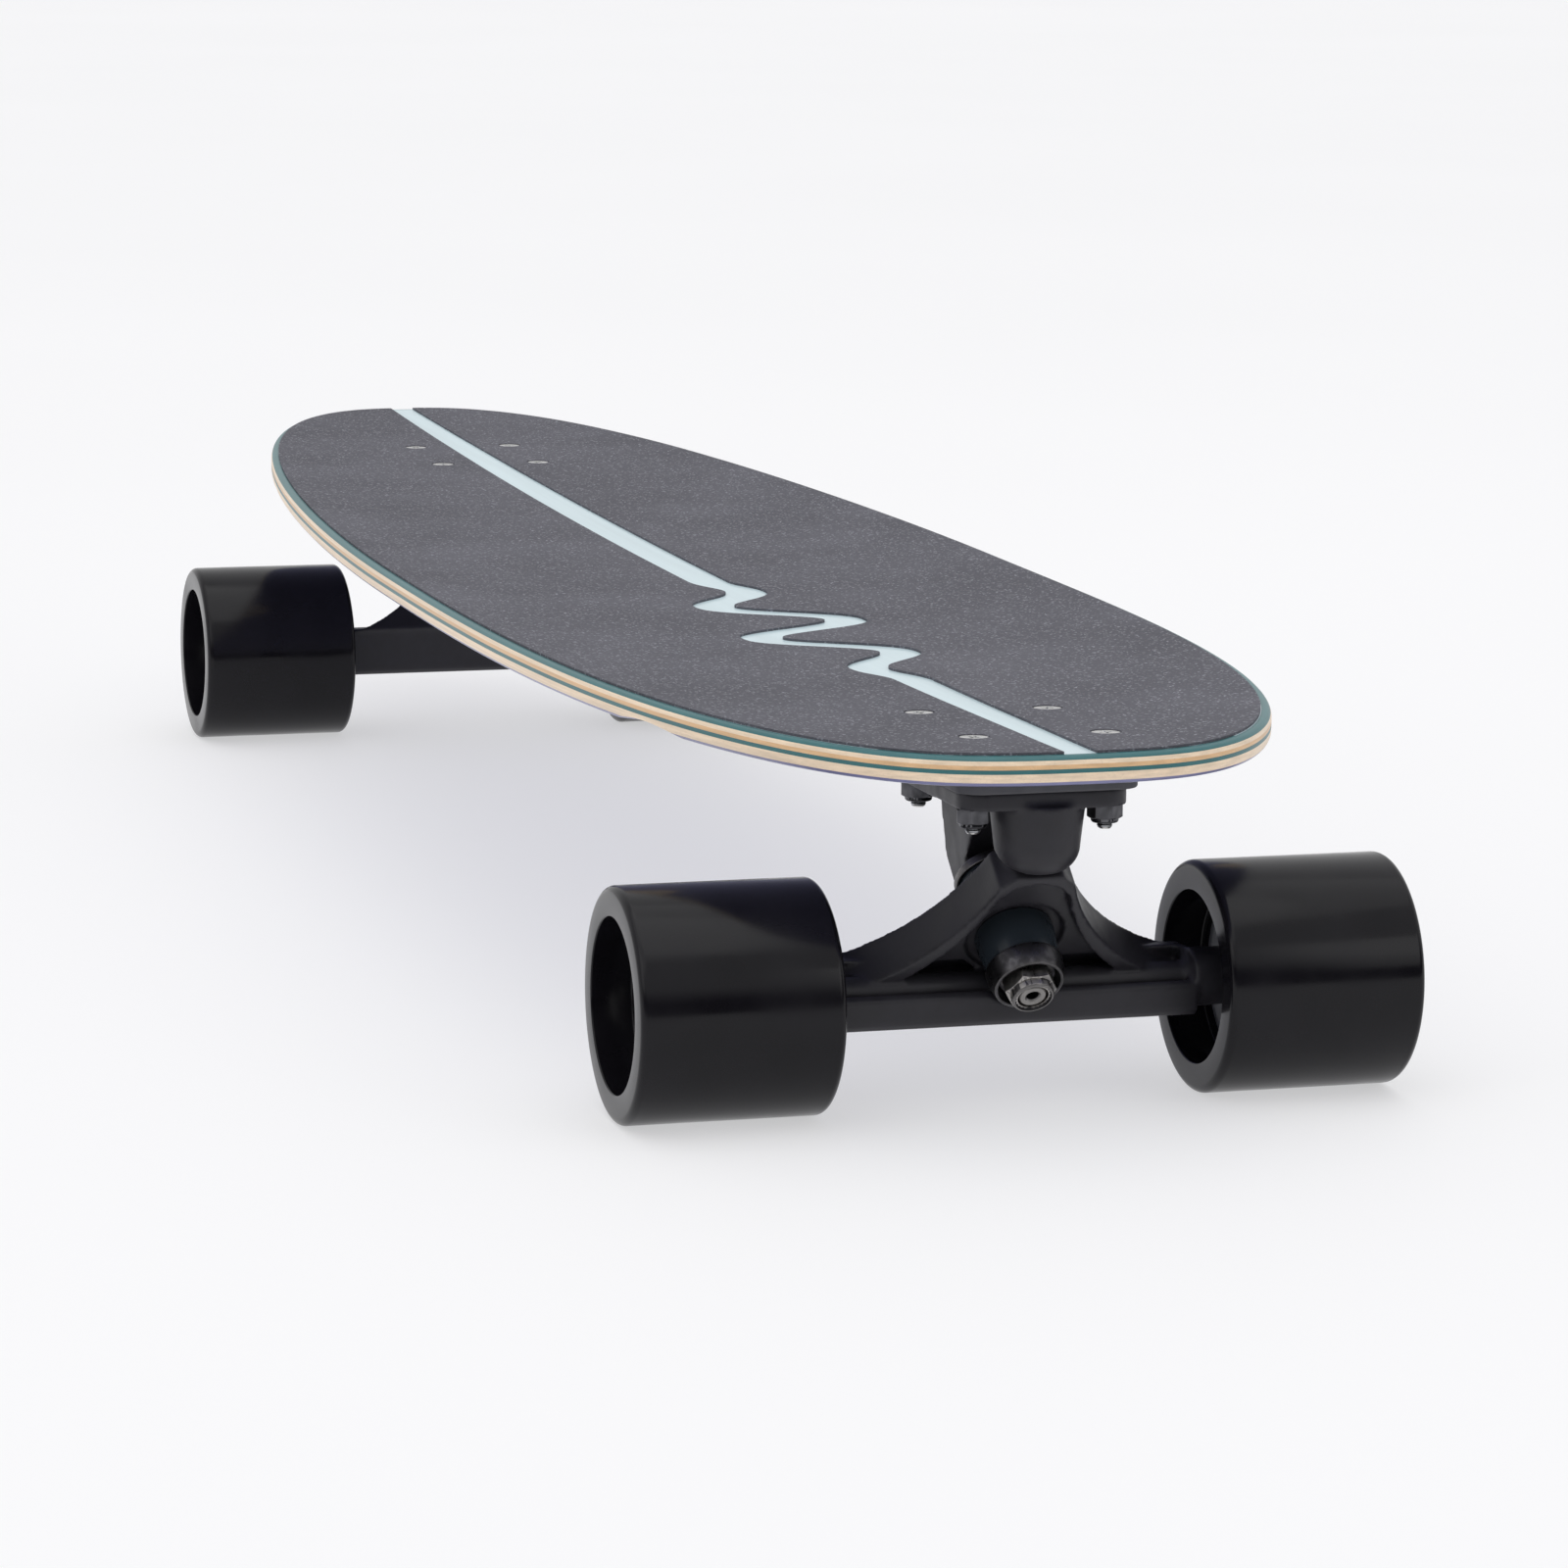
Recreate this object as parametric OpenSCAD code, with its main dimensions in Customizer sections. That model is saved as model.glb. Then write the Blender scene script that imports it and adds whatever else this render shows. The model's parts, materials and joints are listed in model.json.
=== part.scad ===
// Longboard skateboard: a seven-ply pressed deck on two reverse-kingpin trucks.
// +X points to the nose, +Y to the rider's left, +Z up. The origin is on the floor,
// under the middle of the deck's length.

/* [Deck] */
// Length of the deck from tail tip to nose tip
deck_length = 952; // [860:1:1150]
// Widest width of the deck
deck_width = 233; // [205:1:280]
// Distance between the two axles
wheelbase = 724; // [620:1:800]
// Distance from the front axle to the nose tip
nose_overhang = 69; // [60:1:85]
// How far the widest place lies in front of the middle of the deck
widest_forward = 35; // [0:1:60]
// Thickness of one ply
ply_t = 1.28; // [1.1:0.02:1.6]
// Radius of the rounded edge of the deck
edge_round = 2.6; // [1:0.1:3.4]
// Rise of the deck's edge over its middle
concave = 5; // [0:0.5:8]
// Width of the flat strip along the middle of the deck
flat_w = 60; // [58:1:70]
// Rise of the deck at an axle over the middle of the wheelbase
rocker = 4; // [1:0.5:8]
// Fullness of the outline along the nose
nose_fullness = 3.2; // [2:0.1:4]
// Fullness of the outline along the tail
tail_fullness = 1.8; // [1.5:0.1:3]
// Roundness of both tips
tip_roundness = 2.7; // [2:0.1:3]

/* [Wheel wells] */
// Radius of the scoop over a wheel
well_r = 138; // [90:1:180]
// Depth of the scoop at the deck's edge
well_depth = 3.4; // [1:0.1:3.6]
// How far a scoop lies from its axle towards the middle of the deck
well_back = 52; // [30:1:70]
// Distance of the scoop's inner end from the centre line
well_inner_y = 76; // [70:1:90]

/* [Grip tape] */
// Thickness of the grip tape
grip_t = 0.8; // [0.5:0.1:1.2]
// Bare margin between the tape and the deck's edge
grip_margin = 3.5; // [2:0.5:8]
// Width of the gap between the two tapes at the middle of the deck
gap_middle_w = 15; // [8:1:18]
// Width of the gap at the nose and the tail
gap_end_w = 10; // [6:1:12]
// Height of the waves in the gap
wave_height = 21; // [0:1:21]
// Number of waves in the gap
wave_count = 3; // [2:1:4]
// Length of the wavy stretch
wave_span = 250; // [200:1:300]
// How far the wavy stretch's middle lies in front of the middle of the deck
wave_forward = 185; // [120:1:200]

/* [Wheels and bearings] */
// Diameter of a wheel
wheel_d = 72; // [66:1:80]
// Width of a wheel
wheel_w = 63; // [50:1:70]
// Distance between the middles of the two wheels of a truck
track = 183.6; // [180:0.2:200]
// Radius of the rounded lip of a wheel
lip_r = 2.5; // [1:0.1:4]
// Diameter of the opening in a wheel's face
opening_d = 53.5; // [48:0.5:56]
// Width of the hard core inside a wheel
core_w = 34; // [30:1:40]
// Outside diameter of a bearing
bearing_d = 22; // [22:1:22]
// Width of a bearing
bearing_w = 7; // [7:1:7]
// Diameter of the axle
axle_d = 8; // [8:1:8]
// Number of balls in a bearing
ball_count = 7; // [6:1:7]
// Diameter of a ball
ball_d = 3.97; // [3.5:0.01:4]
// Length of the spacer between the two bearings of a wheel
spacer_l = 10; // [8:1:12]
// Thickness of a speed ring
ring_t = 1; // [0.5:0.1:1.5]

/* [Truck] */
// Angle of the steering axis above the baseplate
steer_angle = 50; // [46:1:52]
// Height of the baseplate's top over the axle
truck_h = 66; // [64:0.5:72]
// Distance from the axle line to the kingpin's axis
ring_rise = 18.3; // [17.8:0.1:20]
// How far the axle lies in front of the kingpin hole's middle plane
axle_lead = 9; // [8:0.5:10]
// Distance of the mounting holes' middle from the axle, outwards
mount_offset = 3.5; // [2:0.5:5]
// Length of the baseplate
plate_l = 74; // [72:1:82]
// Width of the baseplate
plate_w = 53; // [50:1:57]
// Thickness of the baseplate's flange
flange_t = 5.6; // [4.5:0.1:6]
// Thickness of the riser pad
riser_t = 6; // [2:0.5:10]
// Length of the riser pad
riser_l = 81; // [80:1:88]
// Width of the riser pad
riser_w = 57; // [56:1:58]
// Thickness of the hanger between the two bushings
seat_t = 6; // [5:0.5:7]
// Height of a bushing
bushing_h = 15; // [13:0.5:16]
// Diameter of a bushing where it sits in the hanger
bushing_d = 24.4; // [22:0.2:25]
// Diameter of the roadside bushing under its washer
bushing_tip_d = 21.2; // [18:0.2:22]
// Diameter of the kingpin
kingpin_d = 9.5; // [9:0.1:10]

/* [Hardware] */
// Spacing of the mounting holes along the board
hole_l = 54; // [53:0.1:55]
// Spacing of the mounting holes across the board
hole_w = 41.3; // [40.5:0.1:42]
// Diameter of a mounting bolt
bolt_d = 4.8; // [4.6:0.1:5]
// Diameter of a mounting bolt's countersunk head
bolt_head_d = 9; // [8.6:0.1:9.4]
// Width across the flats of a mounting nut
bolt_nut_af = 9.5; // [9:0.1:10]
// Height of a mounting nut
bolt_nut_h = 6; // [5:0.5:7]

/* [Hidden] */
WHEELS = [["front_left", 1, 1], ["front_right", 1, -1], ["rear_left", -1, 1], ["rear_right", -1, -1]];
ENDS = [["front", 1], ["rear", -1]];
PLIES = ["bottom_ply", "lower_core_ply", "lower_face_ply", "middle_ply", "upper_core_ply",
         "upper_face_ply", "top_ply"];
PLY_COLOURS = ["#6f7296", "#efd9b8", "#f3dfc2", "#4f8489", "#ddb483", "#f1dcbc", "#a9cfd6"];
TRUCK_NODES = ["riser_pad", "baseplate", "pivot_cup", "kingpin", "kingpin_nut", "boardside_bushing",
               "roadside_bushing", "bushing_washers", "hanger", "axle", "axle_nuts", "speed_rings",
               "bearing_spacers", "bearing_inner_rings", "bearing_balls", "deck_bolts", "deck_nuts"];
WHEEL_NODES = ["tyre", "core", "bearing_outer_rings", "bearing_shields"];
$fn = 96;

// clearances
fit = 0.03;           // a pressed or turned fit, on the radius
running = 0.3;        // free air between parts that move past each other
bolt_gap = 0.3;       // round a mounting bolt, on the radius
cut = 1;              // overlap of a cutting tool

// the deck
plies_t = len(PLIES)*ply_t;
wheel_r = wheel_d/2;
tail_overhang = deck_length - wheelbase - nose_overhang;
axles_x = [for (s = [-1, 1]) (tail_overhang - nose_overhang)/2 + s*wheelbase/2];
wheelbase_mid = (axles_x[0] + axles_x[1])/2;
half_base = wheelbase/2;
mount_half = riser_l/2 + 5;
seat_z = truck_h + riser_t;               // underside of the deck over the axle
mount_tilt = atan(2*rocker*(half_base + mount_offset)/(half_base*half_base));
mount_x = half_base + mount_offset*cos(mount_tilt) - seat_z*sin(mount_tilt);
mount_z = wheel_r + seat_z*cos(mount_tilt) + mount_offset*sin(mount_tilt);
mid_z = mount_z - rocker*(mount_x*mount_x + mount_half*mount_half)/(half_base*half_base);
head_top = seat_z + plies_t + grip_t;     // top of the mounting bolts' heads
head_cone_h = (bolt_head_d - bolt_d)/2;
bolt_end = truck_h - flange_t - bolt_nut_h - 1.8;
wave_from = wave_forward - wave_span/2;
wave_to = wave_forward + wave_span/2;
tip_half_w = 8;
end_cells = 9;
mount_cells = 3;
middle_cells = 11;
side_cells = 3;
wave_cells = 36;

// the truck, measured from the middle of the kingpin hole in the steering frame:
// x runs along the kingpin towards the road, z along the steering axis
seat_half = seat_t/2;
washer_floor = 2;
washer_rim = 4;           // height of the roadside washer's rim round the nut
boardside_seat = -seat_half - bushing_h - washer_floor;
roadside_seat = seat_half + bushing_h;
leg_grip = 11;            // length of kingpin inside the baseplate's leg
head_seat = boardside_seat - leg_grip;
kingpin_head_h = 6;
kingpin_head_af = 14.2;
kingpin_nut_h = 9.2;
kingpin_nut_af = 14.2;
kingpin_end = roadside_seat + washer_floor + kingpin_nut_h - 0.8;
kingpin_hole_r = 7.6;
bushing_bore_r = kingpin_d/2 + 0.15;
recess_r = bushing_d/2 + 3;
beam_half = 59.2;
arch_r = 73.7;
arch_y = 82.3;
arch_z = 68.4 - ring_rise;
arch_back = -5.3;
arch_front = 10;
pocket_r = 65.4;
pocket_y = 75;
pocket_z = 57 - ring_rise;
web_front = seat_half + 2.2;
beam_top = 5.4 - ring_rise;
pocket_top = 48 - ring_rise;
pocket_round = 12.6;
web_low = beam_top + 3.2;
trough_half = 57;
trough_back = 5.8;
beam_lip_x = 7.2;
axle_cover_r = axle_d/2 + 1.3;
neck_r = 9.6;
nose_half = 7.2;
pivot_r = 6.1;
pivot_start = 51 - ring_rise;
cup_start = pivot_start + 1.2;
pivot_tip = pivot_start + 3.2;
cup_wall = 2.1;
cup_depth = pivot_tip + pivot_r + running - cup_start;
cup_r = pivot_r + running + cup_wall;
cup_base = 2;
cup_house_r = 13;
cup_house_corner = 9;
cup_house_low = 39.6;
leg_half_w = 11.6;         // half the leg's width under the flange
leg_half_low = 8.6;        // half the leg's width at its lower end
flange_low = truck_h - flange_t;
plate_back = mount_offset - plate_l/2;

// wheels
opening_r = opening_d/2;
hub_bore_r = 9.4;
core_r = opening_r - 2.2;
bearing_mid = spacer_l/2 + bearing_w/2;
stack_half = spacer_l/2 + bearing_w + ring_t;
shoulder_y = track/2 - stack_half;
axle_nut_h = 7.6;
axle_half = track/2 + stack_half + axle_nut_h + 1.4;
ball_pitch_r = (bearing_d/2 + axle_d/2)/2;
race_gap_r = 1.5;
shield_t = 0.4;
shield_seat_r = ball_pitch_r + race_gap_r + 0.5;

// ---------- places ----------

// the frame of a truck: origin on the axle, x outwards, tilted with the deck
module truck_frame(end) {
    translate([end > 0 ? axles_x[1] : axles_x[0], 0, wheel_r])
        rotate([0, 0, end > 0 ? 0 : 180]) rotate([0, -mount_tilt, 0]) children();
}

// the steering frame of a truck
module steer_frame() {
    rotate([0, 90 - steer_angle, 0]) translate([-axle_lead, 0, ring_rise]) children();
}

// a solid of revolution that stands on x = 0 of the steering frame and runs towards the road
module along_kingpin(from = 0) {
    translate([from, 0, 0]) rotate([0, 90, 0]) children();
}

module at_bolts() {
    for (x = [-1, 1]) for (y = [-1, 1])
        translate([mount_offset + x*hole_l/2, y*hole_w/2, 0]) children();
}

// a solid of revolution about a wheel's axis; its z runs outwards
module wheel_frame(end, side) {
    translate([end > 0 ? axles_x[1] : axles_x[0], side*track/2, wheel_r])
        rotate([-90*side, 0, 0]) children();
}

// both wheels of one truck, in the truck's frame
module both_wheels() {
    for (side = [-1, 1]) translate([0, side*track/2, 0]) rotate([-90*side, 0, 0]) children();
}

module both_bearings() {
    for (s = [-1, 1]) translate([0, 0, s*bearing_mid]) children();
}

module tube(r_out, r_in, h, from = 0) {
    translate([0, 0, from]) difference() {
        cylinder(r = r_out, h = h);
        translate([0, 0, -cut]) cylinder(r = r_in, h = h + 2*cut);
    }
}

module rounded_plate(l, w, h, r) {
    translate([-l/2, -w/2 + r, 0]) cube([l, w - 2*r, h]);
    translate([-l/2 + r, -w/2, 0]) cube([l - 2*r, w, h]);
    for (x = [-1, 1]) for (y = [-1, 1])
        translate([x*(l/2 - r), y*(w/2 - r), 0]) cylinder(r = r, h = h, $fn = 48);
}

module hexagon(af, h) {
    cylinder(d = af/cos(30), h = h, $fn = 6);
}

// ---------- deck ----------

// the two ends of the outline differ in length and fullness
function outline_length(x) = deck_length/2 + (x > widest_forward ? -widest_forward : widest_forward);
function outline_place(x) = min(1, abs(x - widest_forward)/outline_length(x));
function half_width(x) =
    let (fullness = x > widest_forward ? nose_fullness : tail_fullness)
    max(tip_half_w, deck_width/2*pow(max(0, 1 - pow(outline_place(x), fullness)), 1/tip_roundness));
function inset_x(x, inset) = widest_forward + (x - widest_forward)*(1 - inset/outline_length(x));
function inset_half_width(x, inset) = max(tip_half_w, half_width(x)*(1 - 2*inset/deck_width));

// height of the deck's underside: a shallow bow, straight over the two mounting areas
function bow(x) = mid_z + rocker*pow((x - wheelbase_mid)/half_base, 2);
function straight(x) = mount_z + (abs(x - wheelbase_mid) - mount_x)*tan(mount_tilt);
function underside(x) = abs(abs(x - wheelbase_mid) - mount_x) < mount_half ? straight(x) : bow(x);

// rise of the section at y, in straight pieces between the section's own corners
function section_corners(half_w) =
    let (flat = min(flat_w/2, 0.45*half_w))
    [for (k = [0:side_cells]) flat + (half_w - flat)*k/side_cells];
function rise(y) = concave*pow(max(0, y - flat_w/2)/(deck_width/2 - flat_w/2), 2);
function section_rise(x, y) =
    lookup(abs(y), [for (c = section_corners(half_width(x))) [c, rise(c)]]);

function spread(a, b, n) = [for (i = [1:n]) a + (b - a)*i/n];
function ease_out(a, b, n) = [for (i = [1:n]) a + (b - a)*(1 - pow(1 - i/n, 2))];
function reversed(v) = [for (i = [len(v) - 1:-1:0]) v[i]];

mount_edges = [for (s = [-1, 1]) for (e = [-1, 1]) wheelbase_mid + s*mount_x + e*mount_half];
tail_x = reversed(ease_out(mount_edges[0], -deck_length/2, end_cells));
nose_x = ease_out(mount_edges[3], deck_length/2, end_cells);
rear_mount_x = concat([mount_edges[0]], spread(mount_edges[0], mount_edges[1], mount_cells));
front_mount_x = spread(mount_edges[2], mount_edges[3], mount_cells);
deck_x = concat(tail_x, rear_mount_x, spread(mount_edges[1], mount_edges[2], middle_cells),
                front_mount_x, nose_x);

// amount by which the rounded edge draws in at a height over the underside
function edge_inset(h) =
    let (d = min(h, plies_t - h))
    d >= edge_round ? 0 : edge_round - sqrt(pow(edge_round, 2) - pow(edge_round - d, 2));

// one row of a ply's surface across the deck, at a height over the underside
function ply_row(x, h) =
    let (inset = edge_inset(h), px = inset_x(x, inset), z = underside(px) + h,
         c = section_corners(inset_half_width(x, inset)),
         ys = concat(reversed(-1*c), c))
    [for (y = ys) [px, y, z + section_rise(px, y)]];

// a closed sheet between two grids of points with rows along X and columns along Y
module sheet(lower, upper) {
    rows = len(lower);
    cols = len(lower[0]);
    points = [for (g = [lower, upper]) for (row = g) for (p = row) p];
    function at(layer, i, j) = (layer*rows + i)*cols + j;
    faces = concat(
        [for (i = [0:rows - 2]) for (j = [0:cols - 2]) for (t = [0, 1]) t == 0
            ? [at(1, i, j), at(1, i, j + 1), at(1, i + 1, j + 1)]
            : [at(1, i, j), at(1, i + 1, j + 1), at(1, i + 1, j)]],
        [for (i = [0:rows - 2]) for (j = [0:cols - 2]) for (t = [0, 1]) t == 0
            ? [at(0, i, j), at(0, i + 1, j), at(0, i + 1, j + 1)]
            : [at(0, i, j), at(0, i + 1, j + 1), at(0, i, j + 1)]],
        [for (i = [0:rows - 2]) for (t = [0, 1]) t == 0
            ? [at(0, i, 0), at(1, i, 0), at(1, i + 1, 0)]
            : [at(0, i, 0), at(1, i + 1, 0), at(0, i + 1, 0)]],
        [for (i = [0:rows - 2]) for (t = [0, 1]) t == 0
            ? [at(0, i + 1, cols - 1), at(1, i + 1, cols - 1), at(1, i, cols - 1)]
            : [at(0, i + 1, cols - 1), at(1, i, cols - 1), at(0, i, cols - 1)]],
        [for (j = [0:cols - 2]) for (t = [0, 1]) t == 0
            ? [at(0, 0, j + 1), at(1, 0, j + 1), at(1, 0, j)]
            : [at(0, 0, j + 1), at(1, 0, j), at(0, 0, j)]],
        [for (j = [0:cols - 2]) for (t = [0, 1]) t == 0
            ? [at(0, rows - 1, j), at(1, rows - 1, j), at(1, rows - 1, j + 1)]
            : [at(0, rows - 1, j), at(1, rows - 1, j + 1), at(0, rows - 1, j + 1)]]);
    polyhedron(points = points, faces = faces, convexity = 4);
}

module ply_sheet(k) {
    sheet([for (x = deck_x) ply_row(x, k*ply_t)], [for (x = deck_x) ply_row(x, (k + 1)*ply_t)]);
}

module ply(k) {
    color(PLY_COLOURS[k]) difference() {
        ply_sheet(k);
        for (end = [-1, 1]) truck_frame(end) {
            at_bolts() bolt_hole();
            if (k*ply_t < well_depth) for (side = [-1, 1]) wheel_well(side);
        }
    }
}

// the hole and countersink that one mounting bolt needs
module bolt_hole() {
    translate([0, 0, truck_h - flange_t - cut]) cylinder(r = bolt_d/2 + bolt_gap, h = 60);
    translate([0, 0, head_top - head_cone_h - bolt_gap])
        cylinder(r1 = bolt_d/2, r2 = bolt_head_d/2 + bolt_gap, h = head_cone_h);
    translate([0, 0, head_top - bolt_gap]) cylinder(r = bolt_head_d/2 + bolt_gap, h = 20);
}

module wheel_well(side) {
    outer_y = deck_width/2 - 5;
    run = outer_y - well_inner_y;
    tilt = atan((rise(outer_y) + well_depth - rise(well_inner_y))/run);
    translate([-well_back, side*well_inner_y, seat_z + rise(well_inner_y)])
        rotate([side*tilt, 0, 0]) translate([0, -side*cut, -well_r])
            rotate([-90*side, 0, 0]) cylinder(r = well_r, h = 2*run, $fn = 180);
}

// ---------- grip tape ----------

grip_x = concat(tail_x, rear_mount_x, spread(mount_edges[1], wave_from, 7),
                spread(wave_from, wave_to, wave_cells), spread(wave_to, mount_edges[2], 2),
                front_mount_x, nose_x);

// line of the gap's middle: waves that swell and die away
function gap_line(x) =
    let (s = (x - wave_from)/wave_span)
    s <= 0 || s >= 1 ? 0 : wave_height*sin(360*wave_count*s)*sin(180*s);
function gap_slope(x) = (gap_line(x + 0.5) - gap_line(x - 0.5));
function gap_width(x) = gap_end_w + (gap_middle_w - gap_end_w)*(1 - pow(2*x/deck_length, 2));
function gap_edge(x, side) = side*gap_line(x) + gap_width(x)/2*sqrt(1 + pow(gap_slope(x), 2));

function grip_row(x, side, h) =
    let (px = inset_x(x, grip_margin), z = underside(px) + plies_t + h,
         half_w = max(tip_half_w, inset_half_width(x, grip_margin)),
         start = min(gap_edge(px, side), half_w - 1.5),
         c = section_corners(half_width(px)),
         inner = max(c[0], start + 0.5),
         ys = [start, min(inner, half_w - 1), min(max(c[1], inner + 0.2), half_w - 0.6),
               min(max(c[2], inner + 0.4), half_w - 0.3), half_w],
         row = [for (y = ys) [px, side*y, z + section_rise(px, y)]])
    side > 0 ? row : reversed(row);

// the tape takes its underside from the top ply, which it's stuck to
module grip(side) {
    color("#4c4c52") difference() {
        sheet([for (x = grip_x) grip_row(x, side, -ply_t/2)],
              [for (x = grip_x) grip_row(x, side, grip_t)]);
        ply_sheet(len(PLIES) - 1);
        for (end = [-1, 1]) truck_frame(end) at_bolts() bolt_hole();
    }
}

// ---------- mounting hardware ----------

module deck_bolts(end) {
    color("#b9bcc0") truck_frame(end) at_bolts() difference() {
        union() {
            translate([0, 0, bolt_end]) cylinder(d = bolt_d, h = head_top - bolt_end - 0.5);
            translate([0, 0, head_top - head_cone_h - 0.2])
                cylinder(d1 = bolt_d, d2 = bolt_head_d, h = head_cone_h);
            translate([0, 0, head_top - 0.2]) cylinder(d = bolt_head_d, h = 0.2);
        }
        translate([-2.4, -0.45, head_top - 1.7]) cube([4.8, 0.9, 3]);
        translate([-0.45, -2.4, head_top - 1.7]) cube([0.9, 4.8, 3]);
    }
}

module deck_nuts(end) {
    collar_h = 1.4;
    color("#2d2d30") truck_frame(end) at_bolts()
        translate([0, 0, truck_h - flange_t - bolt_nut_h]) difference() {
            union() {
                translate([0, 0, collar_h]) hexagon(bolt_nut_af, bolt_nut_h - collar_h);
                cylinder(d = bolt_nut_af - 1.2, h = collar_h + cut);
            }
            translate([0, 0, -cut]) cylinder(r = bolt_d/2 + fit, h = bolt_nut_h + 2*cut);
        }
}

module riser_pad(end) {
    color("#4a4a4e") truck_frame(end) difference() {
        translate([mount_offset, 0, truck_h]) rounded_plate(riser_l, riser_w, riser_t, 8);
        at_bolts() bolt_hole();
    }
}

// ---------- baseplate ----------

// side view of the leg that holds the kingpin, as [x, z] in the truck's frame
function steer_point(x, z) =
    let (a = 90 - steer_angle, u = x - axle_lead, v = z + ring_rise)
    [u*cos(a) + v*sin(a), v*cos(a) - u*sin(a)];
leg_low = steer_point(boardside_seat, -12.5);
leg_high = steer_point(boardside_seat, 12.5);
leg_back = steer_point(head_seat - kingpin_head_h, -10.5);
leg_back_high = steer_point(head_seat - kingpin_head_h, 10);

module side_profile(points, y0, y1) {
    translate([0, y1, 0]) rotate([90, 0, 0]) linear_extrude(height = y1 - y0) polygon(points);
}

module kingpin_leg() {
    inner = leg_half_low - 1.4;
    intersection() {
        leg_walls(inner);
        translate([-100, 0, 0]) rotate([90, 0, 90]) linear_extrude(height = 200)
            polygon([[-leg_half_low, leg_low[1] - cut], [leg_half_low, leg_low[1] - cut],
                     [leg_half_w, flange_low + cut], [-leg_half_w, flange_low + cut]]);
    }
}

module leg_walls(inner) {
    side_profile([leg_low, leg_high, [4, flange_low + cut], [leg_back_high[0] - 2, flange_low + cut],
                  leg_back_high, leg_back], -leg_half_w, leg_half_w);
    for (side = [-1, 1])
        side_profile([leg_back, [plate_back + 1, flange_low - 3], [plate_back + 1, flange_low + cut],
                      [leg_back_high[0], flange_low + cut], leg_back_high],
                     side > 0 ? inner : -leg_half_w, side > 0 ? leg_half_w : -inner);
}

// a round bowl that hangs from the flange and holds the pivot cup
module cup_house() {
    place = steer_point(0, cup_start + 3);
    corner = cup_house_corner;
    side_low = cup_house_low + corner;
    translate([place[0], 0, 0]) rotate_extrude() intersection() {
        union() {
            translate([0, cup_house_low])
                square([cup_house_r - corner, flange_low + cut - cup_house_low]);
            polygon([[0, side_low], [cup_house_r, side_low], [cup_house_r + 1.5, flange_low + cut],
                     [0, flange_low + cut]]);
            translate([cup_house_r - corner, side_low]) circle(r = corner);
        }
        square([2*cup_house_r, flange_low + cut]);
    }
}

module baseplate(end) {
    color("#38373b") truck_frame(end) difference() {
        union() {
            translate([mount_offset, 0, flange_low]) rounded_plate(plate_l, plate_w, flange_t, 9);
            kingpin_leg();
            cup_house();
        }
        at_bolts() bolt_hole();
        steer_frame() {
            // kingpin bore, its head's socket and the seat of the boardside washer
            along_kingpin(head_seat - 40) cylinder(r = kingpin_d/2 + fit, h = 60);
            along_kingpin(head_seat - 30) hexagon(kingpin_head_af + 0.3, 30);
            // seat of the pivot cup, open towards the hanger
            translate([0, 0, cup_start]) cylinder(r = cup_r + fit, h = cup_depth + cup_base);
            translate([0, 0, cup_start - 30]) cylinder(r = 25, h = 30);
        }
    }
}

module pivot_cup(end) {
    color("#1f1f22") truck_frame(end) steer_frame() difference() {
        translate([0, 0, cup_start]) cylinder(r = cup_r, h = cup_depth + cup_base);
        translate([0, 0, cup_start - cut]) cylinder(r = pivot_r + running, h = pivot_tip - cup_start + cut);
        translate([0, 0, pivot_tip]) sphere(r = pivot_r + running);
    }
}

// ---------- kingpin and bushings ----------

module kingpin(end) {
    color("#55565a") truck_frame(end) steer_frame() {
        along_kingpin(head_seat) cylinder(d = kingpin_d, h = kingpin_end - head_seat);
        along_kingpin(head_seat - kingpin_head_h) hexagon(kingpin_head_af, kingpin_head_h);
    }
}

module kingpin_nut(end) {
    collar_h = 2.6;
    color("#4b4b4e") truck_frame(end) steer_frame()
        along_kingpin(roadside_seat + washer_floor) difference() {
            union() {
                hexagon(kingpin_nut_af, kingpin_nut_h - collar_h);
                cylinder(d = kingpin_nut_af - 1.2, h = kingpin_nut_h);
            }
            translate([0, 0, -cut]) cylinder(r = kingpin_d/2 + fit, h = kingpin_nut_h + 2*cut);
        }
}

module boardside_bushing(end) {
    color("#2a3036") truck_frame(end) steer_frame() along_kingpin(-seat_half - bushing_h)
        rotate_extrude() polygon([[bushing_bore_r, 0], [bushing_d/2 - 0.8, 0], [bushing_d/2, 0.8],
                 [bushing_d/2, bushing_h - 0.8], [bushing_d/2 - 0.8, bushing_h], [bushing_bore_r, bushing_h]]);
}

module roadside_bushing(end) {
    color("#2a3036") truck_frame(end) steer_frame() along_kingpin(seat_half) rotate_extrude()
        polygon([[bushing_bore_r, 0], [bushing_d/2, 0], [bushing_d/2, bushing_h*0.35],
                 [bushing_tip_d/2, bushing_h], [bushing_bore_r, bushing_h]]);
}

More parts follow.
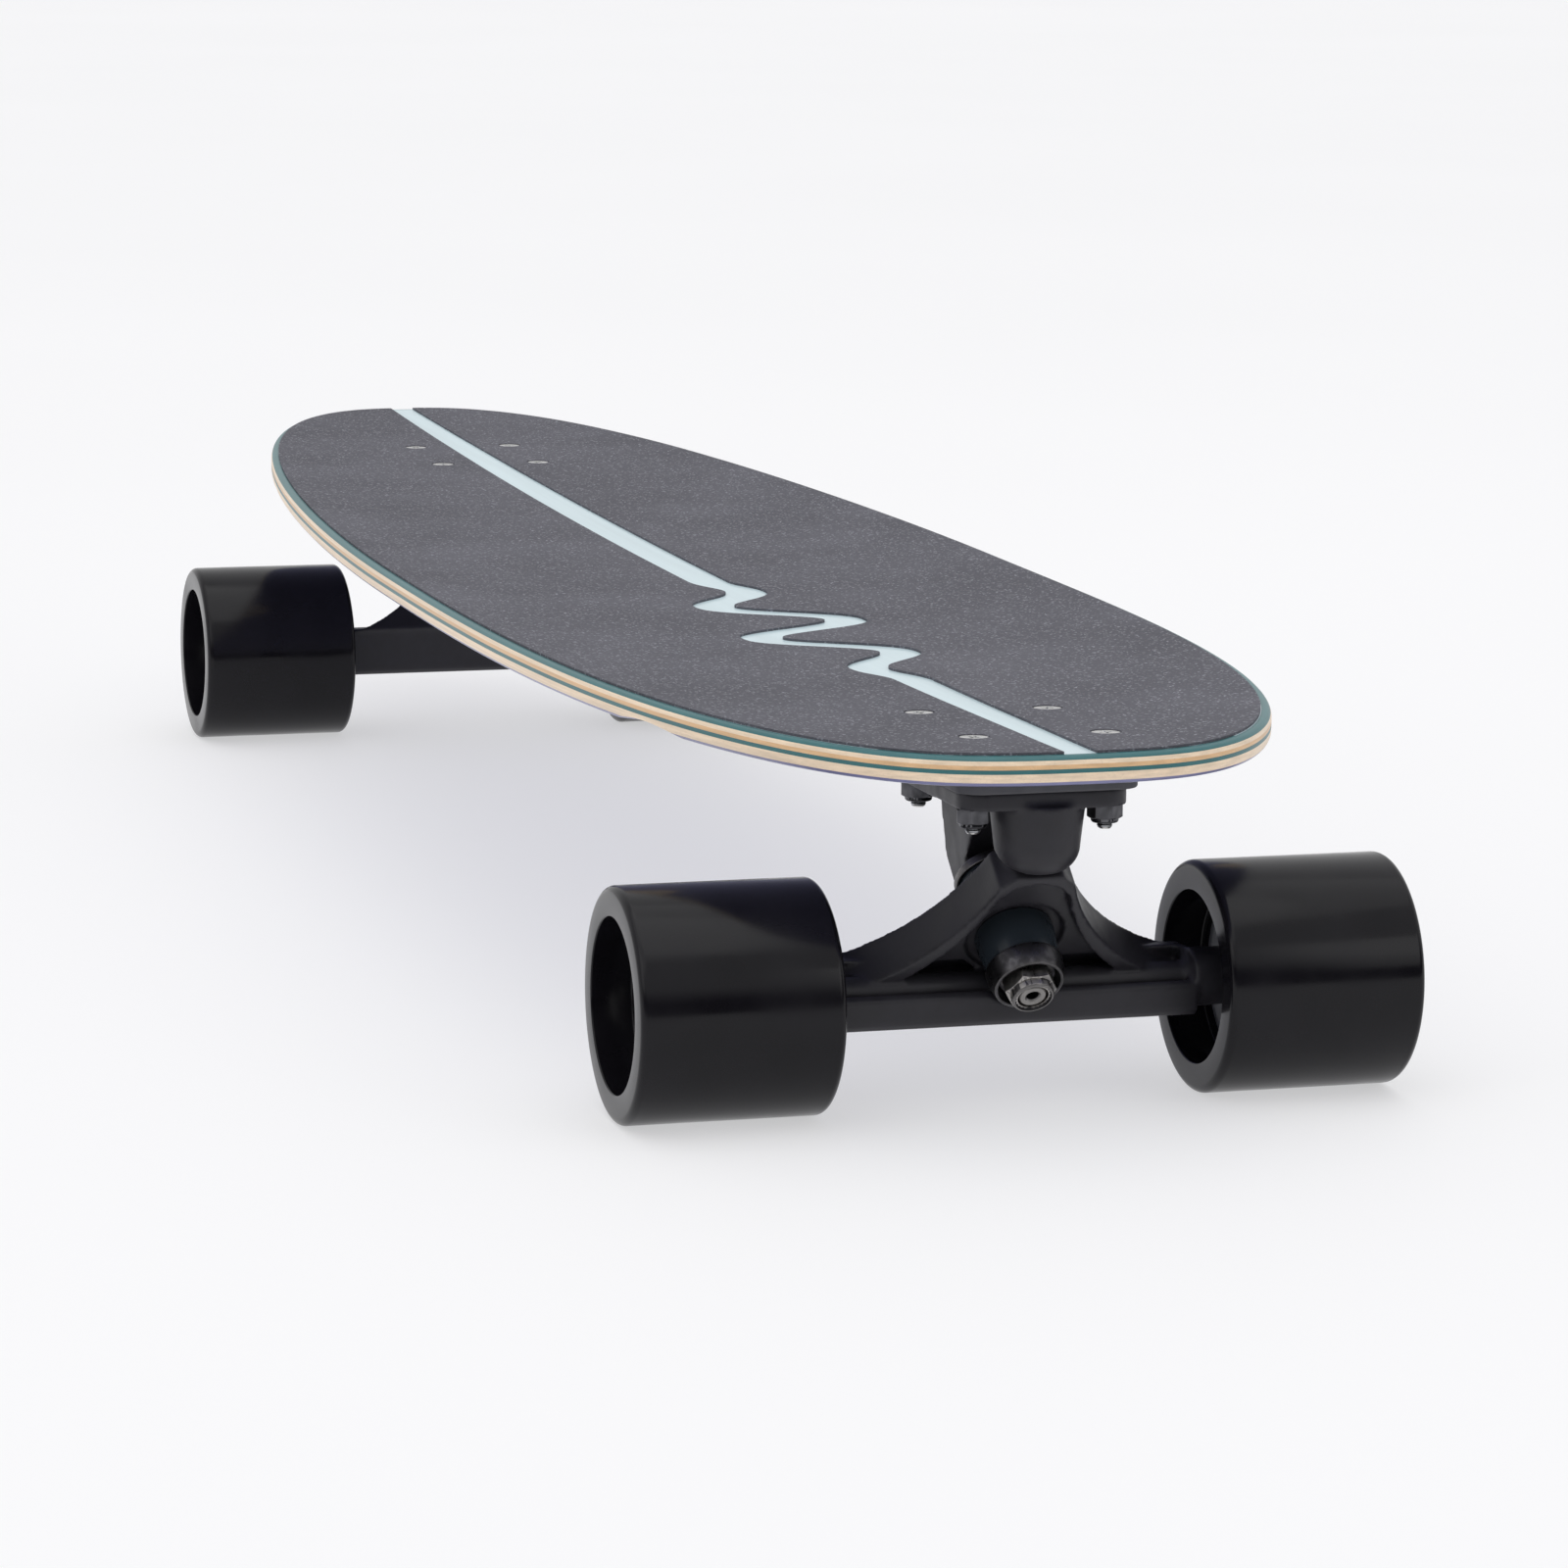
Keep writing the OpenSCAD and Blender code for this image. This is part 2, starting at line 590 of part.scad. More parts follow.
// boardside: a shallow cup behind the bushing; roadside: a deep cup round its tip,
// with a recess that the nut sits in
module bushing_washers(end) {
    lip = 1.3;
    wall = 1;
    tip_r = bushing_tip_d/2 + 0.35;
    color("#4d4b4d") truck_frame(end) steer_frame() {
        along_kingpin(boardside_seat) rotate_extrude()
            polygon([[bushing_bore_r, 0], [bushing_d/2 + wall, 0], [bushing_d/2 + wall, washer_floor + lip],
                     [bushing_d/2 + 0.1, washer_floor + lip], [bushing_d/2 + 0.1, washer_floor],
                     [bushing_bore_r, washer_floor]]);
        along_kingpin(roadside_seat - lip) rotate_extrude()
            polygon([[bushing_bore_r, lip], [tip_r, lip], [tip_r, 0], [tip_r + wall, 0],
                     [tip_r + wall, lip + 1.4], [tip_r - 0.3, lip + washer_floor + washer_rim],
                     [kingpin_nut_af/2 + 2.6, lip + washer_floor + washer_rim],
                     [kingpin_nut_af/2 + 1.9, lip + washer_floor], [bushing_bore_r, lip + washer_floor]]);
    }
}

// ---------- hanger ----------

// an outline in the plane of the steering axis, as thick as from x0 to x1
module hanger_plate(x0, x1) {
    translate([x0, 0, 0]) rotate([0, 90, 0]) rotate([0, 0, 90]) linear_extrude(height = x1 - x0) children();
}

module arch_outline(low = -ring_rise) {
    shoulder_z = pivot_start - 4;
    difference() {
        polygon([[-beam_half, low], [beam_half, low], [beam_half, shoulder_z], [neck_r + 1.6, shoulder_z],
                 [nose_half, pivot_start], [-nose_half, pivot_start], [-neck_r - 1.6, shoulder_z],
                 [-beam_half, shoulder_z]]);
        for (s = [-1, 1]) translate([s*arch_y, arch_z]) circle(r = arch_r, $fn = 180);
    }
}

module pocket_outline(low = beam_top) {
    difference() {
        union() {
            translate([-pocket_y, low]) square([2*pocket_y, pocket_top - pocket_round - low]);
            translate([0, pocket_top - pocket_round]) circle(r = pocket_round);
        }
        for (s = [-1, 1]) translate([s*pocket_y, pocket_z]) circle(r = pocket_r, $fn = 180);
    }
}

module beam_section() {
    top_x = -3;
    polygon([[-10, -8.5], [-8, -10.5], [7.5, -10.5], [9.5, -8.5], [9.5, slant_z(9.5)],
             [top_x, slant_z(top_x)], [-10, slant_z(top_x)]]);
}

// height over the axle of the beam's slanting top at x
function slant_z(x) = (beam_top + ring_rise - x*cos(steer_angle))/sin(steer_angle);

module hanger_end() {
    rotate([-90, 0, 0]) rotate_extrude()
        polygon([[0, beam_half - 10], [6, beam_half - 10], [6, beam_half - 1], [9.2, beam_half - 0.4],
                 [8.8, shoulder_y - 4], [8, shoulder_y], [0, shoulder_y]]);
}

// the dark slot between the web and the beam's front lip, round the covered axle
module trough() {
    difference() {
        translate([-trough_back, -trough_half, -5.5])
            cube([trough_back + beam_lip_x, 2*trough_half, 40]);
        rotate([90, 0, 0]) cylinder(r = axle_cover_r, h = 200, center = true);
        steer_frame() {
            translate([-60, -100, web_low]) cube([120, 200, 60]);
            translate([-60, -100, -60]) cube([60.6, 200, 120]);
            along_kingpin(-60) cylinder(r = recess_r + 1.8, h = 60 + web_front);
            // the arch's front rib runs down behind the lip
            hanger_plate(-60, arch_front) difference() {
                arch_outline(-60);
                pocket_outline(-60);
            }
        }
    }
}

module hanger(end) {
    color("#3a393d") truck_frame(end) difference() {
        union() {
            translate([0, beam_half, 0]) rotate([90, 0, 0]) linear_extrude(height = 2*beam_half)
                beam_section();
            for (side = [0, 1]) mirror([0, side, 0]) hanger_end();
            steer_frame() {
                difference() {
                    hanger_plate(arch_back, arch_front) arch_outline();
                    hanger_plate(web_front, arch_front + cut) pocket_outline();
                }
                along_kingpin(-seat_half - 2.4) cylinder(r = recess_r + 1.8, h = web_front + seat_half + 2.4);
                translate([0, 0, pocket_top])
                    cylinder(r1 = neck_r, r2 = neck_r - 0.6, h = pivot_start - pocket_top - 0.6);
                translate([0, 0, pivot_start - 0.6])
                    cylinder(r1 = neck_r - 0.6, r2 = pivot_r + 0.2, h = 1.4);
                translate([0, 0, pivot_start]) cylinder(r = pivot_r, h = pivot_tip - pivot_start);
                translate([0, 0, pivot_tip]) sphere(r = pivot_r);
            }
        }
        trough();
        steer_frame() {
            along_kingpin(-20) cylinder(r = kingpin_hole_r, h = 40);
            along_kingpin(seat_half) cylinder(r = recess_r, h = 30);
            along_kingpin(-seat_half - 30) cylinder(r = recess_r, h = 30);
        }
        rotate([-90, 0, 0]) translate([0, 0, -shoulder_y - cut])
            cylinder(r = axle_d/2 + fit, h = 2*shoulder_y + 2*cut);
    }
}

// ---------- axle and bearings ----------

module axle(end) {
    chamfer = 0.8;
    color("#77797d") truck_frame(end) rotate([-90, 0, 0]) rotate_extrude()
        polygon([[0, -axle_half], [axle_d/2 - chamfer, -axle_half], [axle_d/2, chamfer - axle_half],
                 [axle_d/2, axle_half - chamfer], [axle_d/2 - chamfer, axle_half], [0, axle_half]]);
}

module axle_nuts(end) {
    collar_h = 2;
    af = 12.7;
    color("#85878b") truck_frame(end) both_wheels() translate([0, 0, stack_half]) difference() {
        union() {
            hexagon(af, axle_nut_h - collar_h);
            cylinder(d = af - 1.4, h = axle_nut_h);
        }
        translate([0, 0, -cut]) cylinder(r = axle_d/2 + fit, h = axle_nut_h + 2*cut);
    }
}

module speed_rings(end) {
    color("#9a9ca0") truck_frame(end) both_wheels()
        for (from = [-stack_half, stack_half - ring_t])
            tube(ball_pitch_r - race_gap_r - 0.3, axle_d/2 + fit, ring_t, from);
}

module bearing_spacers(end) {
    color("#9a9ca0") truck_frame(end) both_wheels()
        tube(ball_pitch_r - race_gap_r - 0.4, axle_d/2 + fit, spacer_l, -spacer_l/2);
}

module ball_groove() {
    rotate_extrude() translate([ball_pitch_r, 0]) circle(d = ball_d + 2*fit, $fn = 48);
}

module bearing_inner_rings(end) {
    color("#c6c8cb") truck_frame(end) both_wheels() both_bearings() difference() {
        tube(ball_pitch_r - race_gap_r, axle_d/2 + fit, bearing_w, -bearing_w/2);
        ball_groove();
    }
}

module bearing_balls(end) {
    color("#dcdee0") truck_frame(end) both_wheels() both_bearings()
        for (i = [0:ball_count - 1]) rotate(i*360/ball_count) translate([ball_pitch_r, 0, 0])
            sphere(d = ball_d, $fn = 32);
}

module bearing_outer_rings(end, side) {
    color("#c6c8cb") wheel_frame(end, side) both_bearings() difference() {
        tube(bearing_d/2 - fit, ball_pitch_r + race_gap_r, bearing_w, -bearing_w/2);
        ball_groove();
        for (s = [-1, 1]) translate([0, 0, s*(bearing_w/2 - shield_t/2)])
            cylinder(r = shield_seat_r, h = shield_t + 0.001, center = true);
    }
}

module bearing_shields(end, side) {
    color("#26262a") wheel_frame(end, side) both_bearings() for (s = [-1, 1])
        tube(shield_seat_r - fit, ball_pitch_r - race_gap_r + 0.15, shield_t,
             s*(bearing_w/2 - shield_t/2) - shield_t/2);
}

// ---------- wheels ----------

module core(end, side) {
    hub_half = spacer_l/2 + bearing_w;
    color("#4a4b50") wheel_frame(end, side) difference() {
        rotate_extrude()
            polygon([[hub_bore_r, -hub_half], [15, -hub_half], [core_r - 1.6, -core_w/2], [core_r, -core_w/2],
                     [core_r, core_w/2], [core_r - 1.6, core_w/2], [15, hub_half], [hub_bore_r, hub_half]]);
        for (s = [-1, 1]) translate([0, 0, s*(spacer_l/2 + bearing_w/2 + cut/2)])
            cylinder(d = bearing_d, h = bearing_w + cut, center = true);
    }
}

// section of the tyre: rounded lips, an opening in each face and a seat round the core
module tyre_section() {
    half = wheel_w/2;
    seat_half_w = core_w/2;
    difference() {
        union() {
            translate([opening_r, -half]) square([wheel_r - lip_r - opening_r, wheel_w]);
            translate([opening_r, -half + lip_r]) square([wheel_r - opening_r, wheel_w - 2*lip_r]);
            for (s = [-1, 1]) translate([wheel_r - lip_r, s*(half - lip_r)]) circle(r = lip_r, $fn = 48);
            translate([core_r + fit, -seat_half_w - 1.5]) square([opening_r - core_r, core_w + 3]);
        }
        for (s = [-1, 1]) translate([core_r - 1, s > 0 ? seat_half_w : -seat_half_w - 1.6])
            square([1 + fit, 1.6]);
    }
}

module tyre(end, side) {
    color("#1a181c") wheel_frame(end, side) rotate_extrude($fn = 144) tyre_section();
}

// ---------- drawing ----------

grip(1);  // grip_left
grip(-1);  // grip_right
for (k = [0:len(PLIES) - 1]) ply(k);
for (e = ENDS) {
    riser_pad(e[1]);
    baseplate(e[1]);
    pivot_cup(e[1]);
    kingpin(e[1]);
    kingpin_nut(e[1]);
    boardside_bushing(e[1]);
    roadside_bushing(e[1]);
    bushing_washers(e[1]);
    hanger(e[1]);
    axle(e[1]);
    axle_nuts(e[1]);
    speed_rings(e[1]);
    bearing_spacers(e[1]);
    bearing_inner_rings(e[1]);
    bearing_balls(e[1]);
    deck_bolts(e[1]);
    deck_nuts(e[1]);
}
for (w = WHEELS) {
    tyre(w[1], w[2]);
    core(w[1], w[2]);
    bearing_outer_rings(w[1], w[2]);
    bearing_shields(w[1], w[2]);
}
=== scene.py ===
"""Looks for a longboard: pressed deck, two trucks with sprung steering and four wheels."""

import json
import math

import bmesh
import bpy
from bpy.props import FloatProperty, FloatVectorProperty, IntProperty, PointerProperty
from bpy.types import Operator, Panel, PropertyGroup
from mathutils import Matrix, Vector


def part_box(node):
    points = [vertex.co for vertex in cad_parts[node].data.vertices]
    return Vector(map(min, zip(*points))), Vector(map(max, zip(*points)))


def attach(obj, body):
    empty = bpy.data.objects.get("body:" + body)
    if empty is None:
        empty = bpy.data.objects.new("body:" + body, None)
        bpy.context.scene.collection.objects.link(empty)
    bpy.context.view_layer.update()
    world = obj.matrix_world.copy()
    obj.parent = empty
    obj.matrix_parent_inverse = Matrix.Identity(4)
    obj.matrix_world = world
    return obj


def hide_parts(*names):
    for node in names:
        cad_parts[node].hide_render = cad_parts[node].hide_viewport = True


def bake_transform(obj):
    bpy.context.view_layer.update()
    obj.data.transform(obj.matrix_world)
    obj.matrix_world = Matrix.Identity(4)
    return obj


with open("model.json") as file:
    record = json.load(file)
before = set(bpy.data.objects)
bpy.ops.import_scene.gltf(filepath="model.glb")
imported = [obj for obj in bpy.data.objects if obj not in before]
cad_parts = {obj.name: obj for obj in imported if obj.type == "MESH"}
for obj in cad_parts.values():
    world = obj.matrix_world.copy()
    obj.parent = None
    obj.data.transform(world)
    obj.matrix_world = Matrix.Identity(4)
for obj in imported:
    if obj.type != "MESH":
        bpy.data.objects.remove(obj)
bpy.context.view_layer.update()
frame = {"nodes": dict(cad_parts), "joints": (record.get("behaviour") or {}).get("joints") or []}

bl_info = {
    "name": "Longboard looks",
    "version": (1, 0, 0),
    "blender": (4, 5, 0),
    "location": "3D View > Sidebar > Longboard",
    "description": "Builds the finished surfaces of a longboard round its packed frame",
    "category": "Object",
}

MM = 0.001
ENDS = ("front", "rear")
SIDES = {"left": 1, "right": -1}

# the camera: millimetres of lens, radians of turn, and metres from the front axle and the floor
LENS = 124.16
YAW, PITCH, ROLL = 0.28072, 0.17337, 0.009666
CAMERA_AHEAD, CAMERA_ASIDE, CAMERA_HEIGHT = 1.529, -0.5115, 0.3798

# each light: kind, place and aim in metres, size in metres or radians, and power
LIGHTS = {
    "overhead_softbox": ("AREA", (0.3, 0.3, 2.6), (0.1, 0.0, 0.0), 2.6, 9),
    "side_softbox": ("AREA", (1.4, -2.2, 1.3), (0.2, 0.0, 0.05), 1.4, 4),
    "nose_softbox": ("AREA", (2.4, 1.5, 1.1), (0.3, 0.0, 0.05), 1.2, 4),
    "ceiling_glow": ("SUN", (0.6, -0.8, 3.0), (0.0, 0.0, 0.0), 1.2, 0.5),
}
GLOW = 1.34  # strength of the floor's own light
ROOM_STRENGTH = 0.8

PLIES = (
    "bottom_ply",
    "lower_core_ply",
    "lower_face_ply",
    "middle_ply",
    "upper_core_ply",
    "upper_face_ply",
    "top_ply",
)


# ---------- sizes and colours that a user would change ----------


def length(name, description, millimetres):
    return FloatProperty(
        name=name, description=description, default=millimetres * MM, min=0.0, precision=5,
        unit="LENGTH",
    )


def power(name, description, value):
    return FloatProperty(name=name, description=description, default=value)


def linear(hex_colour):
    """sRGB hex to linear red, green and blue."""
    parts = [int(hex_colour[i : i + 2], 16) / 255 for i in (1, 3, 5)]
    return tuple(c / 12.92 if c <= 0.04045 else ((c + 0.055) / 1.055) ** 2.4 for c in parts)


def colour(name, description, hex_colour):
    return FloatVectorProperty(
        name=name, description=description, default=linear(hex_colour), min=0.0, max=1.0, size=3,
        subtype="COLOR",
    )


class DeckSizes(PropertyGroup):
    ply: length("Ply", "Thickness of one veneer", 1.28)
    edge_round: length("Edge radius", "Radius of the sanded edge", 2.6)
    concave: length("Concave", "Rise of the edge over the middle", 5.0)
    flat: length("Flat strip", "Width of the flat strip along the middle", 60.0)
    rocker: length("Rocker", "Rise at an axle over the middle of the wheelbase", 4.0)
    widest: length("Widest place", "How far the widest place lies forward of the middle", 35.0)
    nose_fullness: power("Nose fullness", "Power of the nose's outline", 3.2)
    tail_fullness: power("Tail fullness", "Power of the tail's outline", 1.8)
    tip_roundness: power("Tip roundness", "Power that rounds both tips", 2.7)
    tip: length("Tip", "Half the width of the blunt tip", 8.0)
    well_radius: length("Wheel well radius", "Radius of the scoop over a wheel", 138.0)
    well_depth: length("Wheel well depth", "Depth of the scoop at the deck's edge", 3.4)
    well_back: length("Wheel well place", "How far a scoop lies inward of its axle", 52.0)
    well_inner: length("Wheel well reach", "Distance of its inner end from the centre line", 76.0)


class TapeSizes(PropertyGroup):
    thickness: length("Thickness", "Thickness of the tape with its grit", 0.8)
    margin: length("Margin", "Bare margin round the tape", 3.5)
    gap_middle: length("Gap at the middle", "Width of the gap at mid length", 15.0)
    gap_end: length("Gap at the tips", "Width of the gap at the tips", 10.0)
    wave: length("Wave height", "Height of the waves in the gap", 21.0)
    waves: IntProperty(name="Waves", description="Number of waves in the gap", default=3)
    wave_span: length("Wavy stretch", "Length of the wavy stretch", 250.0)
    wave_forward: length("Wave place", "How far the waves' middle lies forward", 185.0)


class TruckSizes(PropertyGroup):
    height: length("Truck height", "Height of the baseplate's top over the axle", 66.0)
    riser: length("Riser", "Thickness of the riser pad", 6.0)
    riser_length: length("Riser length", "Length of the riser pad", 81.0)
    riser_width: length("Riser width", "Width of the riser pad", 57.0)
    flange: length("Flange", "Thickness of the baseplate's flange", 5.6)
    offset: length("Mounting offset", "Middle of the mounting holes in front of the axle", 3.5)
    hole_length: length("Hole spacing along", "Spacing of the holes along the board", 54.0)
    hole_width: length("Hole spacing across", "Spacing of the holes across the board", 41.3)
    bolt: length("Mounting bolt", "Diameter of a mounting bolt", 4.8)
    bolt_head: length("Bolt head", "Diameter of a countersunk head", 9.0)
    bolt_nut: length("Mounting nut", "Width across the flats of a mounting nut", 9.5)
    kingpin: length("Kingpin", "Diameter of the kingpin", 9.5)
    bushing: length("Bushing", "Diameter of a bushing at the hanger", 24.4)
    bushing_tip: length("Bushing tip", "Diameter of the roadside bushing's tip", 21.2)
    bushing_height: length("Bushing height", "Height of a bushing", 15.0)
    seat: length("Hanger seat", "Thickness of the hanger between the bushings", 6.0)
    kingpin_nut: length("Kingpin nut", "Width across the flats of the kingpin nut", 14.2)
    steer_angle: FloatProperty(
        name="Steering angle",
        description="Angle of the steering axis over the baseplate",
        default=math.radians(50.0),
        unit="ROTATION",
    )
    cast_grain: length("Cast detail", "Smallest feature kept on a casting", 0.7)


class WheelSizes(PropertyGroup):
    lip: length("Lip", "Radius of a wheel's rounded lip", 2.5)
    opening: length("Opening", "Diameter of the opening in a wheel's face", 53.5)
    core_width: length("Core width", "Width of the hard core", 34.0)
    bearing: length("Bearing", "Outside diameter of a bearing", 22.0)
    bearing_width: length("Bearing width", "Width of a bearing", 7.0)
    spacer: length("Spacer", "Length of the spacer between two bearings", 10.0)
    axle: length("Axle", "Diameter of the axle", 8.0)
    axle_nut: length("Axle nut", "Width across the flats of an axle nut", 12.7)


class Colours(PropertyGroup):
    grit: colour("Grit", "Grip tape", "#606068")
    # painted sheen: the teal top veneer's upward face, drawn pale blue for the bright room's
    # reflection on its lacquer
    strip: colour("Strip", "Dyed face of the top veneer", "#cde2e8")
    maple: colour("Maple", "Plain maple veneer edge", "#f3dcc0")
    tan_maple: colour("Tan maple", "Darker maple veneer edge", "#e3ba8c")
    teal: colour("Teal", "Teal dyed veneer", "#2c6a6e")
    underside: colour("Underside", "Paint of the bottom veneer", "#7778a0")
    casting: colour("Castings", "Coat on hangers and baseplates", "#2a292e")
    riser: colour("Risers", "Riser pads", "#47474b")
    bushing: colour("Bushings", "Cast urethane of the bushings", "#272d33")
    steel: colour("Zinc steel", "Bolts, axles and small turned pieces", "#b4b6ba")
    dark_steel: colour("Dark steel", "Kingpins, washers and lock nuts", "#48474a")
    black_oxide: colour("Black oxide", "Mounting nuts", "#1f1f22")
    urethane: colour("Wheels", "Cast urethane of the wheels", "#121115")
    core: colour("Wheel cores", "Moulded nylon cores", "#55565c")
    shield: colour("Shields", "Bearing shields", "#202024")
    floor: colour("Floor", "Studio floor", "#a9a9aa")


SETTINGS = {
    "longboard_deck": DeckSizes,
    "longboard_tape": TapeSizes,
    "longboard_truck": TruckSizes,
    "longboard_wheel": WheelSizes,
    "longboard_colours": Colours,
}


# ---------- meshes ----------


def object_from(bm, name):
    mesh = bpy.data.meshes.new(name)
    bm.to_mesh(mesh)
    bm.free()
    made = bpy.data.objects.new(name, mesh)
    bpy.context.scene.collection.objects.link(made)
    return made


def bake_modifiers(piece):
    """Applies a piece's modifiers to its mesh."""
    graph = bpy.context.evaluated_depsgraph_get()
    mesh = bpy.data.meshes.new_from_object(piece.evaluated_get(graph))
    old = piece.data
    piece.modifiers.clear()
    piece.data = mesh
    bpy.data.meshes.remove(old)


def drop_object(piece):
    mesh = piece.data
    bpy.data.objects.remove(piece)
    bpy.data.meshes.remove(mesh)


def combine(piece, *tools, operation="DIFFERENCE", crossing=False):
    """Cuts tools from a piece, or joins them to it, and removes the tools.
    A tool whose own solids cross each other is a crossing one."""
    for tool in tools:
        step = piece.modifiers.new("combine", "BOOLEAN")
        step.operation = operation
        step.solver = "EXACT"
        step.use_self = crossing
        step.object = tool
    bake_modifiers(piece)
    for tool in tools:
        drop_object(tool)
    return piece


def dress(piece, finish, body, slot, *nodes, angle=35):
    """Shades a piece smooth up to an angle in degrees, gives it its finish, and lets it stand
    for CAD nodes on a body. A piece with no finish named here already has its materials."""
    mesh = piece.data
    mesh.polygons.foreach_set("use_smooth", [True] * len(mesh.polygons))
    mesh.set_sharp_from_angle(angle=math.radians(angle))
    if finish:
        mesh.materials.clear()
        mesh.materials.append(FINISH[finish])
    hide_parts(*nodes)
    if body:
        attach(piece, body)


def join(bm, other):
    """Moves one bmesh's shape into another."""
    mesh = bpy.data.meshes.new("part")
    other.to_mesh(mesh)
    other.free()
    bm.from_mesh(mesh)
    bpy.data.meshes.remove(mesh)


def turned(profile, place, steps=96, rounds=(), segments=4, closed=True):
    """A bmesh turned about Z from (radius, height) points in millimetres, then placed.
    rounds pairs a corner's number in the profile with its radius in millimetres."""
    bm = bmesh.new()
    line = [bm.verts.new((r * MM, 0, z * MM)) for r, z in profile]
    pairs = list(zip(line, line[1:] + line[:1] if closed else line[1:]))
    for a, b in pairs:
        bm.edges.new((a, b))
    for corner, radius in rounds:
        bmesh.ops.bevel(
            bm, geom=[line[corner]], offset=radius * MM, offset_type="OFFSET", segments=segments,
            profile=0.5, affect="VERTICES", material=-1,
        )
    bmesh.ops.spin(
        bm, geom=bm.verts[:] + bm.edges[:], cent=(0, 0, 0), axis=(0, 0, 1), angle=math.tau,
        steps=steps, use_merge=True,
    )
    bmesh.ops.remove_doubles(bm, verts=bm.verts, dist=0.002 * MM)
    bmesh.ops.recalc_face_normals(bm, faces=bm.faces)
    bmesh.ops.transform(bm, matrix=place, verts=bm.verts)
    return bm


def round_edges(bm, edges, radius, segments):
    """Rounds edges by a radius in millimetres."""
    bmesh.ops.bevel(
        bm, geom=edges, offset=radius * MM, segments=segments, profile=0.5, affect="EDGES",
        material=-1,
    )


def hexagon(across, low, high, place):
    """A hexagonal prism with turned corners, in millimetres."""
    bm = bmesh.new()
    corner, flat = across / math.sqrt(3), across / 2
    bmesh.ops.create_cone(
        bm, cap_ends=True, segments=6, radius1=corner * MM, radius2=corner * MM,
        depth=(high - low) * MM, matrix=Matrix.Translation((0, 0, (high + low) / 2 * MM)),
    )
    upright = [e for e in bm.edges if abs(e.verts[0].co.z - e.verts[1].co.z) > MM * 0.5]
    round_edges(bm, upright, 0.35, 3)
    bmesh.ops.transform(bm, matrix=place, verts=bm.verts)
    prism = object_from(bm, "hexagon")
    drop = (corner - flat) * 0.75
    flat, corner = flat * 0.97, corner * 1.02
    blank = turned(
        [(0, low), (flat, low), (corner, low + drop),
         (corner, high - drop), (flat, high), (0, high)],
        place, steps=72, closed=False,
    )
    return combine(prism, object_from(blank, "blank"), operation="INTERSECT")


def lock_nut(name, across, hex_height, height, bore, place):
    """A chamfered hexagon with a rolled collar round its locking ring, in millimetres."""
    nut = hexagon(across, 0, hex_height, place)
    nut.name = nut.data.name = name
    collar, recess, root = across / 2 - 0.55, height - 0.7, hex_height - 1
    ring = turned(
        [(0, root), (collar, root), (collar, height),
         (bore + 0.9, height), (bore + 0.7, recess), (0, recess)],
        place, steps=72, rounds=((2, 0.9), (3, 0.25)), closed=False,
    )
    combine(nut, object_from(ring, "collar"), operation="UNION")
    through = [(0, -1), (bore, -1), (bore, height + 1), (0, height + 1)]
    hole = turned(through, place, steps=48, closed=False)
    return combine(nut, object_from(hole, "hole"))


def threads(radius, low, high, pitch, depth=0.28):
    """Profile points of a thread drawn as rings, in millimetres."""
    points = []
    for i in range(int((high - low) / pitch)):
        root = low + i * pitch
        points += [(radius - depth, root), (radius, root + pitch / 2)]
    return points


def merged(name, pieces):
    """One object from several, each a separate solid in it."""
    bm = bmesh.new()
    for piece in pieces:
        bm.from_mesh(piece.data)
    for piece in pieces:
        drop_object(piece)
    return object_from(bm, name)


# ---------- places ----------


def axle_middle(end):
    low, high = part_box(f"{end}_axle")
    return (low + high) / 2


def steering(end):
    return next(j for j in frame["joints"] if j["name"] == f"{end}_steer")


def mount_tilt(scene):
    axis = steering("front")["axis"]
    return math.pi / 2 - scene.longboard_truck.steer_angle - math.atan2(axis[0], axis[2])


def truck_frame(scene, end):
    """Origin on the axle, X outwards, tilted with the deck."""
    return (
        Matrix.Translation(axle_middle(end))
        @ Matrix.Rotation(0 if end == "front" else math.pi, 4, "Z")
        @ Matrix.Rotation(-mount_tilt(scene), 4, "Y")
    )


def kingpin_frame(scene, end):
    """Origin in the middle of the hanger's ring, Z along the kingpin towards the road."""
    turn = math.pi / 2 - scene.longboard_truck.steer_angle
    ring = Vector(steering(end)["pos_m"])
    turned_axes = truck_frame(scene, end).to_3x3().to_4x4() @ Matrix.Rotation(turn, 4, "Y")
    return Matrix.Translation(ring) @ turned_axes @ Matrix.Rotation(math.pi / 2, 4, "Y")


def bolt_frames(scene, end):
    truck = scene.longboard_truck
    for x in (-1, 1):
        for y in (-1, 1):
            along, across = truck.offset + x * truck.hole_length / 2, y * truck.hole_width / 2
            yield truck_frame(scene, end) @ Matrix.Translation((along, across, 0))


def tape_top(scene):
    """Height of the grip tape over the axle at a truck, in millimetres."""
    truck, veneers = scene.longboard_truck, len(PLIES) * scene.longboard_deck.ply
    return (truck.height + truck.riser + veneers + scene.longboard_tape.thickness) / MM


def wheel_frame(end, side):
    """Origin in the middle of a wheel, Z along its axle outwards."""
    low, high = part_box(f"{end}_{side}_tyre")
    middle = (low + high) / 2
    return Matrix.Translation(middle) @ Matrix.Rotation(-math.pi / 2 * SIDES[side], 4, "X")


# ---------- the deck's shape ----------


